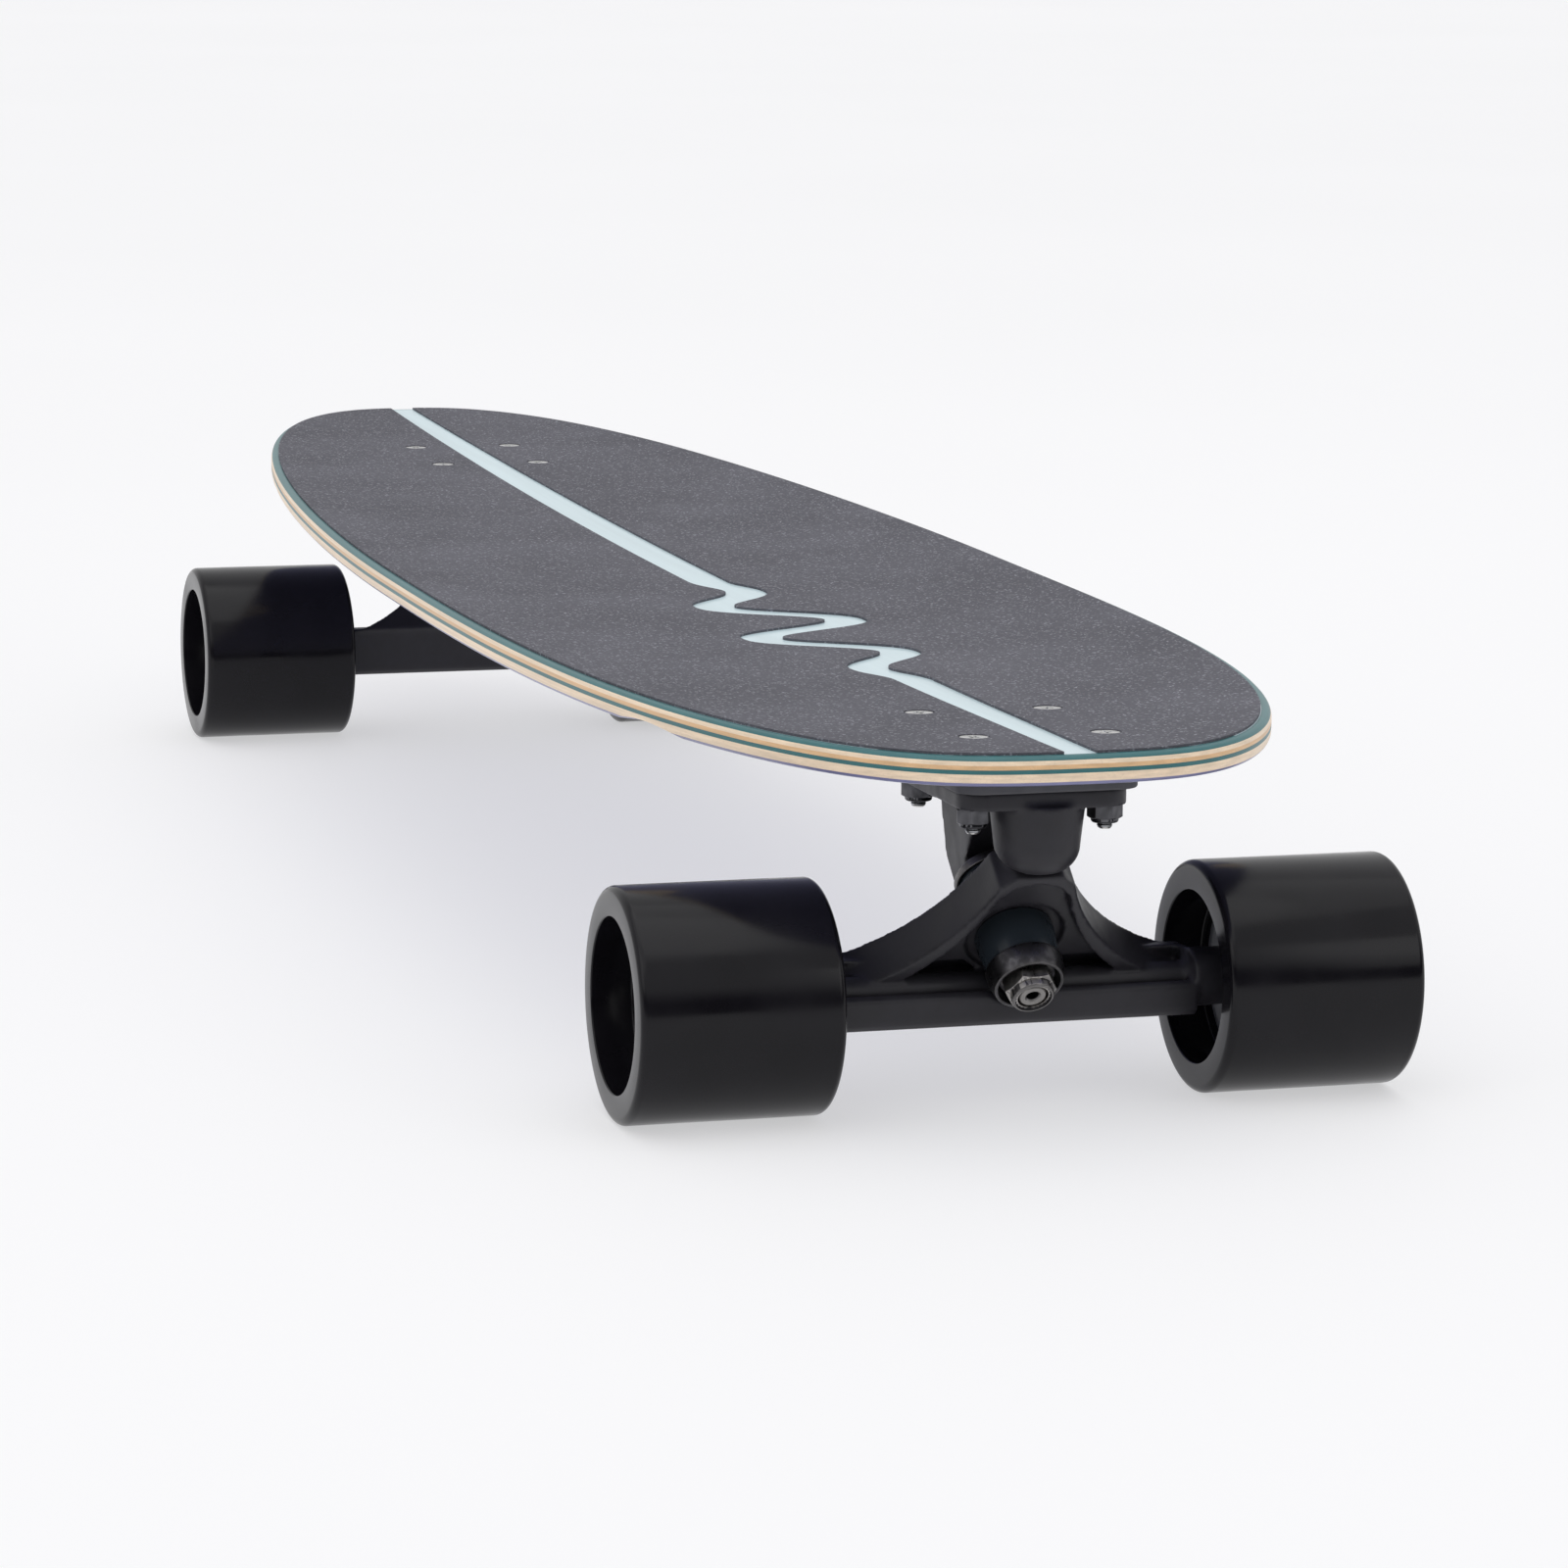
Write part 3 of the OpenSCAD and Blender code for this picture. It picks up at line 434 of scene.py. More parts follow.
class DeckShape:
    """The deck's outline, bow and hollow, with the same rules as the CAD deck."""

    def __init__(self, scene):
        deck, truck = scene.longboard_deck, scene.longboard_truck
        low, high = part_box("middle_ply")
        self.deck = deck
        self.half_length = (high.x - low.x) / 2
        self.half_wide = (high.y - low.y) / 2
        self.thickness = len(PLIES) * deck.ply
        front, rear = axle_middle("front"), axle_middle("rear")
        self.middle = (front.x + rear.x) / 2
        self.half_base = (front.x - rear.x) / 2
        tilt = mount_tilt(scene)
        seat = truck.height + truck.riser
        self.slope = math.tan(tilt)
        self.mount_x = self.half_base + truck.offset * math.cos(tilt) - seat * math.sin(tilt)
        self.mount_z = front.z + seat * math.cos(tilt) + truck.offset * math.sin(tilt)
        self.mount_half = truck.riser_length / 2 + 5 * MM
        flat_rise = (self.mount_x**2 + self.mount_half**2) / self.half_base**2
        self.low_z = self.mount_z - deck.rocker * flat_rise

    def reach(self, x):
        """Distance from the widest place to the tip on x's side."""
        widest = self.deck.widest
        return self.half_length - widest if x > widest else self.half_length + widest

    def half_width(self, x):
        deck = self.deck
        share = min(1.0, abs(x - deck.widest) / self.reach(x))
        fullness = deck.nose_fullness if x > deck.widest else deck.tail_fullness
        round_end = max(0.0, 1 - share**fullness) ** (1 / deck.tip_roundness)
        return max(deck.tip, self.half_wide * round_end)

    def inset(self, x, inset):
        """Place and half width of a section after the outline draws in by inset."""
        inner_x = self.deck.widest + (x - self.deck.widest) * (1 - inset / self.reach(x))
        inner = max(self.deck.tip, self.half_width(x) * (1 - inset / self.half_wide))
        return inner_x, inner

    def is_inside(self, place, margin):
        """Whether a place lies within the outline drawn in by margin."""
        widest = self.deck.widest
        x = widest + (place.x - widest) / (1 - margin / self.reach(place.x))
        return abs(x - widest) < self.reach(x) and abs(place.y) < self.inset(x, margin)[1]

    def underside(self, x):
        out = abs(x - self.middle)
        if abs(out - self.mount_x) < self.mount_half:
            return self.mount_z + (out - self.mount_x) * self.slope
        return self.low_z + self.deck.rocker * (out / self.half_base) ** 2

    def rise(self, y):
        flat = self.deck.flat / 2
        return self.deck.concave * (max(0.0, abs(y) - flat) / (self.half_wide - flat)) ** 2

    def edge_inset(self, height):
        radius = self.deck.edge_round
        near = max(0.0, min(height, self.thickness - height))
        return 0.0 if near >= radius else radius - math.sqrt(radius**2 - (radius - near) ** 2)

    def along(self, u):
        """X of a station: u from -1 at the tail to 1 at the nose, close together at the tips."""
        share = math.sin(u * math.pi / 2)
        return self.deck.widest + share * self.reach(self.deck.widest + share)

    def point(self, x, y, height):
        return Vector((x, y, self.underside(x) + height + self.rise(y)))


def slab(across, along, layers):
    """A unit slab: X and Y from -1 to 1, Z from 0 to 1, with rings round its edge."""
    bm = bmesh.new()
    bmesh.ops.create_grid(bm, x_segments=along, y_segments=across, size=1)
    grown = bmesh.ops.extrude_face_region(bm, geom=bm.faces[:])
    upper = [v for v in grown["geom"] if isinstance(v, bmesh.types.BMVert)]
    bmesh.ops.translate(bm, verts=upper, vec=(0, 0, 1))
    if layers > 1:
        upright = [e for e in bm.edges if abs(e.verts[0].co.z - e.verts[1].co.z) > 0.5]
        bmesh.ops.subdivide_edges(bm, edges=upright, cuts=layers - 1, use_grid_fill=True)
    return bm


def bolt_tools(scene):
    """Countersunk holes for all the mounting bolts, as one cutting tool."""
    truck, gap = scene.longboard_truck, 0.3
    head, shank = truck.bolt_head / MM / 2 + gap, truck.bolt / MM / 2 + gap
    top, low = tape_top(scene), 55
    high = top + 6
    cone = ((shank, top - 2.6), (head, top - 0.6))
    profile = [(0, low), (shank, low), *cone, (head, high), (0, high)]
    bm = bmesh.new()
    for end in ENDS:
        for place in bolt_frames(scene, end):
            join(bm, turned(profile, place, steps=40, closed=False))
    return object_from(bm, "bolt_tool")


def well_tools(scene, shape):
    """The four scoops over the wheels, as one cutting tool."""
    deck, truck = scene.longboard_deck, scene.longboard_truck
    outer = shape.half_wide - 5 * MM
    run = outer - deck.well_inner
    inner_rise = shape.rise(deck.well_inner)
    tilt = math.atan((shape.rise(outer) + deck.well_depth - inner_rise) / run)
    under = truck.height + truck.riser + inner_rise
    bm = bmesh.new()
    for end in ENDS:
        for side in SIDES.values():
            place = (
                truck_frame(scene, end)
                @ Matrix.Translation((-deck.well_back, side * deck.well_inner, under))
                @ Matrix.Rotation(side * tilt, 4, "X")
                @ Matrix.Translation((0, side * run, -deck.well_radius))
                @ Matrix.Rotation(math.pi / 2, 4, "X")
            )
            bmesh.ops.create_cone(
                bm, cap_ends=True, segments=360, depth=2 * run + 2 * MM, matrix=place,
                radius1=deck.well_radius, radius2=deck.well_radius,
            )
    return object_from(bm, "well_tool")


# ---------- materials ----------


def node(tree, kind, sockets=None, out=0, **settings):
    """Adds a shader node with its settings and links, and returns one of its outputs.
    A socket takes a number, a colour or another node's output."""
    made = tree.nodes.new(f"ShaderNode{kind}")
    for key, value in settings.items():
        setattr(made, key, value)
    for key, value in (sockets or {}).items():
        if isinstance(value, bpy.types.NodeSocket):
            tree.links.new(value, made.inputs[key])
        else:
            made.inputs[key].default_value = value
    return made.outputs[out]


def start(name, base, roughness, **shader):
    """A new material with its tree, its shader and its object coordinates."""
    made = bpy.data.materials.new(name)
    made.use_nodes = True
    made.diffuse_color = (*base, 1)
    tree = made.node_tree
    surface = tree.nodes["Principled BSDF"]
    surface.inputs["Base Color"].default_value = (*base, 1)
    surface.inputs["Roughness"].default_value = roughness
    for key, value in shader.items():
        surface.inputs[key].default_value = value
    return made, tree, surface, node(tree, "TexCoord", out="Object")


def tint(base, factor=1.0):
    """A lighter or darker colour, with its alpha."""
    return (*(min(1.0, c * factor) for c in base), 1)


def patches(tree, where, pattern, low=0.0, high=1.0):
    """Soft patches that go from low to high. The pattern is the patches' size in millimetres,
    their detail, and the two places in the noise where the change starts and ends."""
    size, detail, begins, ends = pattern
    cloud = node(tree, "TexNoise", {"Vector": where, "Scale": 1 / (size * MM), "Detail": detail})
    change = {"From Min": begins, "From Max": ends, "To Min": low, "To Max": high}
    return node(tree, "MapRange", {"Value": cloud, **change})


def two_shades(tree, where, base, pattern, darker, lighter):
    """Soft patches of a darker and a lighter shade of one colour."""
    shades = {0: patches(tree, where, pattern), 6: tint(base, darker), 7: tint(base, lighter)}
    return node(tree, "Mix", shades, out=2, data_type="RGBA")


def apply_finish(surface, colour, gloss, height, depth, strength):
    """Links a surface's colour, its roughness if that varies, and its relief in millimetres."""
    tree = surface.id_data
    relief = {"Height": height, "Distance": depth * MM, "Strength": strength}
    tree.links.new(colour, surface.inputs["Base Color"])
    tree.links.new(node(tree, "Bump", relief), surface.inputs["Normal"])
    if gloss is not None:
        tree.links.new(gloss, surface.inputs["Roughness"])


def grit_on_film(base):
    """Silicon carbide grit glued on film: a dark, matte grey, with painted shade between the grains
    and painted glints on a few of them.
    """
    made, tree, surface, where = start(
        "grip_tape_silicon_carbide", base, 0.85, **{"Specular IOR Level": 0.35}
    )
    # real grit is about 0.3 mm across; drawn at 0.7 mm so that it shows
    grain_size = 0.7 * MM
    distance = node(tree, "TexVoronoi", {"Vector": where, "Scale": 1 / grain_size}, feature="F1")
    grain = node(tree, "SeparateColor", {"Color": distance.node.outputs["Color"]})
    trodden = two_shades(tree, where, base, (60, 3, 0.35, 0.7), 0.86, 1.12)
    # painted shade: each grain darkens towards its rim, where the grains' shadows fall between them
    shadow = node(tree, "MapRange", {"Value": grain, "To Max": 0.32})
    grey = {0: shadow, 6: trodden, 7: tint(base, 0.45)}
    grey = node(tree, "Mix", grey, out=2, data_type="RGBA")
    # a painted glint: a grain in seven is drawn much brighter, as if it caught the light, and is made
    # glossier
    painted_highlight = node(tree, "MapRange", {"Value": grain, "From Min": 0.86})
    painted_glint = node(tree, "Mix", {0: painted_highlight, 6: grey, 7: tint(base, 1.9)}, out=2, data_type="RGBA")
    gloss = node(tree, "MapRange", {"Value": grain, "From Min": 0.8, "To Min": 0.9, "To Max": 0.38})
    apply_finish(surface, painted_glint, gloss, distance, 0.25, 0.6)
    return made


def veneer(
    name, base, pore_size, shades, pores_from, pore_strength, pore_tint, depth, strength, **shader
):
    """Rotary-cut maple: slow streaks and fine pores that run along the board, under lacquer.
    The pore size is along, across and through the board in millimetres."""
    made, tree, surface, where = start(name, base, shader.pop("Roughness"), **shader)
    along, across, through = pore_size
    slow_size = (along * 3, across * 9, through * 2)
    slow, fine = (
        node(tree, "Mapping", {"Vector": where, "Scale": [1 / part for part in size]})
        for size in (slow_size, pore_size)
    )
    wood = two_shades(tree, slow, base, (1, 2, 0.3, 0.7), *shades)
    pores = node(tree, "TexNoise", {"Vector": fine, "Scale": 1 / MM, "Detail": 3, "Roughness": 0.6})
    fleck = {"Value": pores, "From Min": pores_from, "From Max": pores_from + 0.2}
    fleck = node(tree, "MapRange", {**fleck, "To Max": pore_strength})
    wood = node(tree, "Mix", {0: fleck, 6: wood, 7: tint(base, pore_tint)}, out=2, data_type="RGBA")
    apply_finish(surface, wood, None, pores, depth, strength)
    return made


def veneer_edge(name, base, depth=0.16):
    """A veneer's sanded, lacquered edge: short dark streaks and pores under a thin gloss."""
    return veneer(
        name, base, (22, 0.7, 0.5), (1 - depth, 1.05), 0.52, 0.4, 0.72, 0.03, 0.5,
        **{"Roughness": 0.42, "Coat Weight": 0.25, "Coat Roughness": 0.25, "Specular IOR Level": 0.4},
    )


def lacquered_face(name, base):
    """Veneer face under lacquer, for the painted underside and for the top veneer's face with its
    painted sheen: even, with a trace of grain and gloss.
    """
    return veneer(
        name, base, (60, 0.8, 3), (0.94, 1.06), 0.55, 0.25, 0.8, 0.02, 0.4,
        **{"Roughness": 0.38, "Coat Weight": 0.35, "Coat Roughness": 0.12,
           "Specular IOR Level": 0.45},
    )


def painted_edge_highlight(tree, colour, low, high, share, painted_highlight):
    """The colour with its sharp outer edges lightened towards a brighter one, a painted highlight
    where edges catch the light; low and high are sharpness.
    """
    sharpness = node(tree, "NewGeometry", out="Pointiness")
    edge = {"Value": sharpness, "From Min": low, "From Max": high, "To Max": share}
    edge = node(tree, "MapRange", edge)
    return node(tree, "Mix", {0: edge, 6: colour, 7: painted_highlight}, out=2, data_type="RGBA")


def coated_casting(base):
    """Sand-textured cast aluminium under a satin black coat, with painted highlights that lighten its
    edges.
    """
    made, tree, surface, where = start(
        "cast_aluminium_satin_black", base, 0.42, **{"Specular IOR Level": 0.35}
    )
    mottle = (9, 4, 0.35, 0.65)
    coat = two_shades(tree, where, base, mottle, 0.86, 1.14)
    # painted highlight: the sharpest edges are drawn half way to a far lighter grey, as if catching
    # the light
    coat = painted_edge_highlight(tree, coat, 0.53, 0.62, 0.5, tint(base, 2.6))
    # sand texture of about 0.5 mm, drawn at 0.8 mm so that it shows
    sand = node(tree, "TexNoise", {"Vector": where, "Scale": 1 / (0.8 * MM), "Detail": 3})
    apply_finish(surface, coat, patches(tree, where, mottle, 0.38, 0.5), sand, 0.06, 0.5)
    return made


def moulded(name, base, roughness, grain=1.2):
    """A moulded rubber or plastic: even colour, faint texture from the tool."""
    made, tree, surface, where = start(name, base, roughness)
    colour = two_shades(tree, where, base, (14, 3, 0.35, 0.65), 0.92, 1.08)
    gloss = patches(tree, where, (5, 4, 0.3, 0.7), roughness * 0.85, roughness * 1.15)
    texture = node(tree, "TexNoise", {"Vector": where, "Scale": 1 / (grain * MM), "Detail": 2})
    apply_finish(surface, colour, gloss, texture, 0.03, 0.35)
    return made


def cast_urethane(name, base, roughness):
    """Poured urethane, turned and polished: deep gloss with very faint haze."""
    made, tree, surface, where = start(name, base, roughness, **{"Specular IOR Level": 0.22})
    haze = (22, 5, 0.35, 0.7)
    colour = two_shades(tree, where, base, haze, 0.9, 1.25)
    gloss = patches(tree, where, haze, roughness * 0.8, roughness * 1.5)
    swell = node(tree, "TexNoise", {"Vector": where, "Scale": 1 / (2.5 * MM), "Detail": 2})
    apply_finish(surface, colour, gloss, swell, 0.01, 0.25)
    return made


def steel_with_painted_rim_highlights(name, base, roughness, painted_highlight):
    """Steel with a thin finish: darker faces, and rims lightened by a painted highlight."""
    made, tree, surface, where = start(name, base, roughness, Metallic=1.0)
    stains = (2.2, 5, 0.4, 0.65)
    colour = two_shades(tree, where, base, stains, 0.72, 1.1)
    # painted highlight: the sharpest rims are drawn fully in the highlight colour
    colour = painted_edge_highlight(tree, colour, 0.51, 0.58, 1.0, tint(painted_highlight))
    gloss = patches(tree, where, stains, roughness * 1.3, roughness * 0.8)
    tooling = node(tree, "TexNoise", {"Vector": where, "Scale": 1 / (0.7 * MM), "Detail": 3})
    apply_finish(surface, colour, gloss, tooling, 0.02, 0.4)
    return made


def make_materials(scene):
    """Every finish on the board, by a short name."""
    tone = scene.longboard_colours
    # the colours of the steels' painted rim highlights: white for zinc and bearing steel, pale for
    # blackened steel, dim for black oxide
    white, pale, dim = linear("#e6e4e0"), linear("#a3a09d"), linear("#6a6a6e")
    return {
        "tape": grit_on_film(tone.grit[:]),
        # the teal top veneer's upward face, painted pale blue as a painted sheen of the bright room
        # on its lacquer: a cool, pale, even strip between the dark sheets of tape
        "strip": lacquered_face("teal_veneer_top_painted_pale_sheen", tone.strip[:]),
        # plain, heat-browned and dyed layers: the striped edge of a pressed deck
        "maple": veneer_edge("maple_veneer_edge", tone.maple[:]),
        "tan_maple": veneer_edge("maple_veneer_edge_tan", tone.tan_maple[:]),
        "teal": veneer_edge("maple_veneer_edge_dyed_teal", tone.teal[:], 0.12),
        # paint under lacquer: a dusky, closed underside
        "underside": lacquered_face("maple_veneer_painted_grey_blue", tone.underside[:]),
        "casting": coated_casting(tone.casting[:]),
        # rubber: the dullest grey on the board
        "riser": moulded("moulded_rubber_grey", tone.riser[:], 0.6),
        # dark slate, with a softer gloss than the wheels
        "bushing": cast_urethane("cast_urethane_slate", tone.bushing[:], 0.2),
        # zinc: silver with cloudy patches
        "steel": steel_with_painted_rim_highlights("zinc_plated_steel", tone.steel[:], 0.3, white),
        # heat-blackened: dark faces, with painted highlights on the rims
        "dark_steel": steel_with_painted_rim_highlights("blackened_steel", tone.dark_steel[:], 0.34, pale),
        # oxide: nearly black, with dim painted highlights on the rims
        "black_oxide": steel_with_painted_rim_highlights("black_oxide_steel", tone.black_oxide[:], 0.36, dim),
        # ground and polished: the brightest metal
        "bearing": steel_with_painted_rim_highlights("ground_bearing_steel", linear("#cfd0d2"), 0.16, white),
        # the wheels' deep, wet-looking black
        "wheel": cast_urethane("cast_urethane_black", tone.urethane[:], 0.16),
        # nylon: mid grey with a plastic sheen
        "core": moulded("moulded_nylon_grey", tone.core[:], 0.36, 2.0),
        # thin rubber: closes the bearings in matt black
        "shield": moulded("moulded_rubber_shield", tone.shield[:], 0.5),
    }


FINISH = {}


# ---------- studio ----------


def backlit_acrylic(base):
    """Acrylic sheet lit from behind: a matt, even white whose own glow keeps the shadows pale."""
    glow = {"Emission Color": tint(base), "Emission Strength": GLOW, "Specular IOR Level": 0.2}
    made, tree, surface, where = start("backlit_acrylic", base, 0.7, **glow)
    drift = two_shades(tree, where, base, (900, 2, 0.3, 0.7), 0.985, 1.01)
    tree.links.new(drift, surface.inputs["Base Color"])
    return made


def studio_room():
    """A pale room that is dark low down in front of the nose, so that gloss shows a horizon."""
    world = bpy.data.worlds.new("studio")
    world.use_nodes = True
    room = world.node_tree
    axes = node(room, "SeparateXYZ", {0: node(room, "TexCoord", out="Generated")}).node.outputs
    low = {"Value": axes["Z"], "From Min": 0.22, "From Max": 0.4, "To Min": 1.0, "To Max": 0.0}
    ahead = {"Value": axes["X"], "From Min": 0.1, "From Max": 0.45}
    dark = {0: node(room, "MapRange", low), 1: node(room, "MapRange", ahead)}
    dark = node(room, "Math", dark, operation="MULTIPLY")
    sky = {0: dark, 6: tint(linear("#fafafb")), 7: tint(linear("#1c1c20"))}
    sky = node(room, "Mix", sky, out=2, data_type="RGBA")
    backdrop = room.nodes["Background"]
    room.links.new(sky, backdrop.inputs["Color"])
    backdrop.inputs["Strength"].default_value = ROOM_STRENGTH
    return world


def hang_light(scene, name, kind, place, target, size, power):
    light = bpy.data.lights.new(name, kind)
    setattr(light, "angle" if kind == "SUN" else "size", size)
    light.energy = power
    lamp = bpy.data.objects.new(name, light)
    lamp.location = place
    aim = Vector(target) - Vector(place)
    lamp.rotation_euler = aim.to_track_quat("-Z", "Y").to_euler()
    scene.collection.objects.link(lamp)


def place_camera(scene):
    camera = bpy.data.objects.new("camera", bpy.data.cameras.new("camera"))
    camera.data.lens = LENS
    camera.data.clip_start, camera.data.clip_end = 0.05, 100
    level = math.cos(PITCH)
    forward = Vector((-math.cos(YAW) * level, math.sin(YAW) * level, -math.sin(PITCH)))
    right = forward.cross(Vector((0, 0, 1))).normalized()
    up = right.cross(forward)
    tilted_right = math.cos(ROLL) * right + math.sin(ROLL) * up
    tilted_up = math.cos(ROLL) * up - math.sin(ROLL) * right
    turn = Matrix((tilted_right, tilted_up, -forward)).transposed().to_4x4()
    place = (axle_middle("front").x + CAMERA_AHEAD, CAMERA_ASIDE, CAMERA_HEIGHT)
    camera.matrix_world = Matrix.Translation(place) @ turn
    scene.collection.objects.link(camera)
    scene.camera = camera


# ---------- operators ----------


class LONGBOARD_OT_stage(Operator):
    """Lays the pale floor, soft studio lights and the camera"""

    bl_idname = "longboard.stage"
    bl_label = "Stage"

    def execute(self, context):
        scene = context.scene
        scene.view_settings.view_transform = "Standard"
        bm = bmesh.new()
        bmesh.ops.create_grid(bm, x_segments=8, y_segments=8, size=30)
        floor = object_from(bm, "floor")
        floor.data.materials.append(backlit_acrylic(scene.longboard_colours.floor[:]))
        scene.world = studio_room()
        for name, settings in LIGHTS.items():
            hang_light(scene, name, *settings)
        place_camera(scene)
        return {"FINISHED"}


class LONGBOARD_OT_plies(Operator):
    """Presses the seven veneers of the deck"""

    bl_idname = "longboard.plies"
    bl_label = "Plies"

    def execute(self, context):
        scene = context.scene
        shape = DeckShape(scene)
        looks = {
            "bottom_ply": ("underside", "painted_veneer"),
            "middle_ply": ("teal", "teal_veneer"),
            "upper_core_ply": ("tan_maple", "tan_maple"),
            "top_ply": (None, "pale_blue_veneer"),
        }
        for k, name in enumerate(PLIES):
            outermost = k in (0, len(PLIES) - 1)
            bm = slab(24, 240, 4 if outermost else 2)
            for v in bm.verts:
                height = (k + v.co.z) * shape.deck.ply
                x, half = shape.inset(shape.along(v.co.x), shape.edge_inset(height))
                # the top veneer's columns crowd towards its rim, which shows another colour
                share = math.sin(v.co.y * math.pi / 2) if name == "top_ply" else v.co.y
                v.co = shape.point(x, share * half, height)
            bmesh.ops.recalc_face_normals(bm, faces=bm.faces)
            ply = object_from(bm, f"{name}_veneer")
            tools = [bolt_tools(scene)]
            if k * shape.deck.ply < shape.deck.well_depth:
                tools.append(well_tools(scene, shape))
            combine(ply, *tools)
            if name == "top_ply":
                # teal on its edge and bare rim, and on its upward face a pale blue copy of the teal:
                # a painted sheen
                ply.data.materials.clear()
                for look in ("teal", "strip"):
                    ply.data.materials.append(FINISH[look])
                for face in ply.data.polygons:
                    inside = shape.is_inside(face.center, scene.longboard_tape.margin)
                    face.material_index = 1 if face.normal.z > 0.8 and inside else 0
            look, slot = looks.get(name, ("maple", "maple"))
            dress(ply, look, "deck", slot, name, angle=50)
        return {"FINISHED"}


class LONGBOARD_OT_tape(Operator):
    """Lays the two sheets of grip tape"""

    bl_idname = "longboard.tape"
    bl_label = "Grip tape"

    def execute(self, context):
        scene = context.scene
        tape = scene.longboard_tape
        shape = DeckShape(scene)
        start_x = tape.wave_forward - tape.wave_span / 2
        narrowest = 1.5 * MM

        def line(x):
            """How far the gap's middle lies to the left."""
            share = (x - start_x) / tape.wave_span
            if not 0 < share < 1:
                return 0.0
            return tape.wave * math.sin(math.tau * tape.waves * share) * math.sin(math.pi * share)

        def gap_edge(x, side):
            """How far a sheet's inner edge lies from the centre line."""
            slope = (line(x + 0.5 * MM) - line(x - 0.5 * MM)) / MM
            middling = 1 - (x / shape.half_length) ** 2
            width = tape.gap_end + (tape.gap_middle - tape.gap_end) * middling
            return side * line(x) + width / 2 * math.sqrt(1 + slope**2)

        for side_name, side in SIDES.items():
            bm = slab(12, 760, 1)
            for v in bm.verts:
                height = shape.thickness + v.co.z * tape.thickness
                x, half = shape.inset(shape.along(v.co.x), tape.margin)
                inner = min(gap_edge(x, side), half - narrowest)
                y = inner + (half - inner) * (v.co.y + 1) / 2
                v.co = shape.point(x, side * y, height)
            bmesh.ops.recalc_face_normals(bm, faces=bm.faces)
            sheet = object_from(bm, f"grip_tape_{side_name}")
            combine(sheet, bolt_tools(scene))
            dress(sheet, "tape", "deck", "grip_tape", f"grip_{side_name}", angle=50)
        return {"FINISHED"}


class LONGBOARD_OT_castings(Operator):
    """Casts the hangers and baseplates, with the soft corners that a mould leaves"""

    bl_idname = "longboard.castings"
    bl_label = "Castings"

    def execute(self, context):
        scene = context.scene
        for end in ENDS:
            for part, body in (("hanger", f"{end}_hanger"), ("baseplate", "deck")):
                name = f"{end}_{part}"
                bm = bmesh.new()
                bm.from_mesh(frame["nodes"][name].data)
                bmesh.ops.remove_doubles(bm, verts=bm.verts, dist=0.001 * MM)
                casting = object_from(bm, f"{name}_casting")
                fine = casting.modifiers.new("grain", "REMESH")
                fine.mode = "VOXEL"
                fine.voxel_size = scene.longboard_truck.cast_grain
                fine.use_smooth_shade = True
                soft = casting.modifiers.new("soft_corners", "SMOOTH")
                soft.factor = 0.5
                soft.iterations = 5
                bake_modifiers(casting)
                dress(casting, "casting", body, "truck_casting", name, angle=60)
        return {"FINISHED"}


class LONGBOARD_OT_risers(Operator):
    """Moulds the two riser pads"""

    bl_idname = "longboard.risers"
    bl_label = "Riser pads"

    def execute(self, context):
        scene = context.scene
        truck = scene.longboard_truck
        for end in ENDS:
            bm = bmesh.new()
            bmesh.ops.create_cube(bm, size=1)
            size = (truck.riser_length, truck.riser_width, truck.riser)
            bmesh.ops.scale(bm, vec=size, verts=bm.verts)
            upright = [e for e in bm.edges if abs(e.verts[0].co.z - e.verts[1].co.z) > MM]
            round_edges(bm, upright, 8, 12)
            rims = [e for e in bm.edges if abs(e.verts[0].co.z - e.verts[1].co.z) < 0.1 * MM]
            round_edges(bm, rims, 0.7, 3)
            middle = Matrix.Translation((truck.offset, 0, truck.height + truck.riser / 2))
            bmesh.ops.transform(bm, matrix=truck_frame(scene, end) @ middle, verts=bm.verts)
            pad = combine(object_from(bm, f"{end}_riser"), bolt_tools(scene))
            dress(pad, "riser", "deck", "riser_rubber", f"{end}_riser_pad")
        return {"FINISHED"}


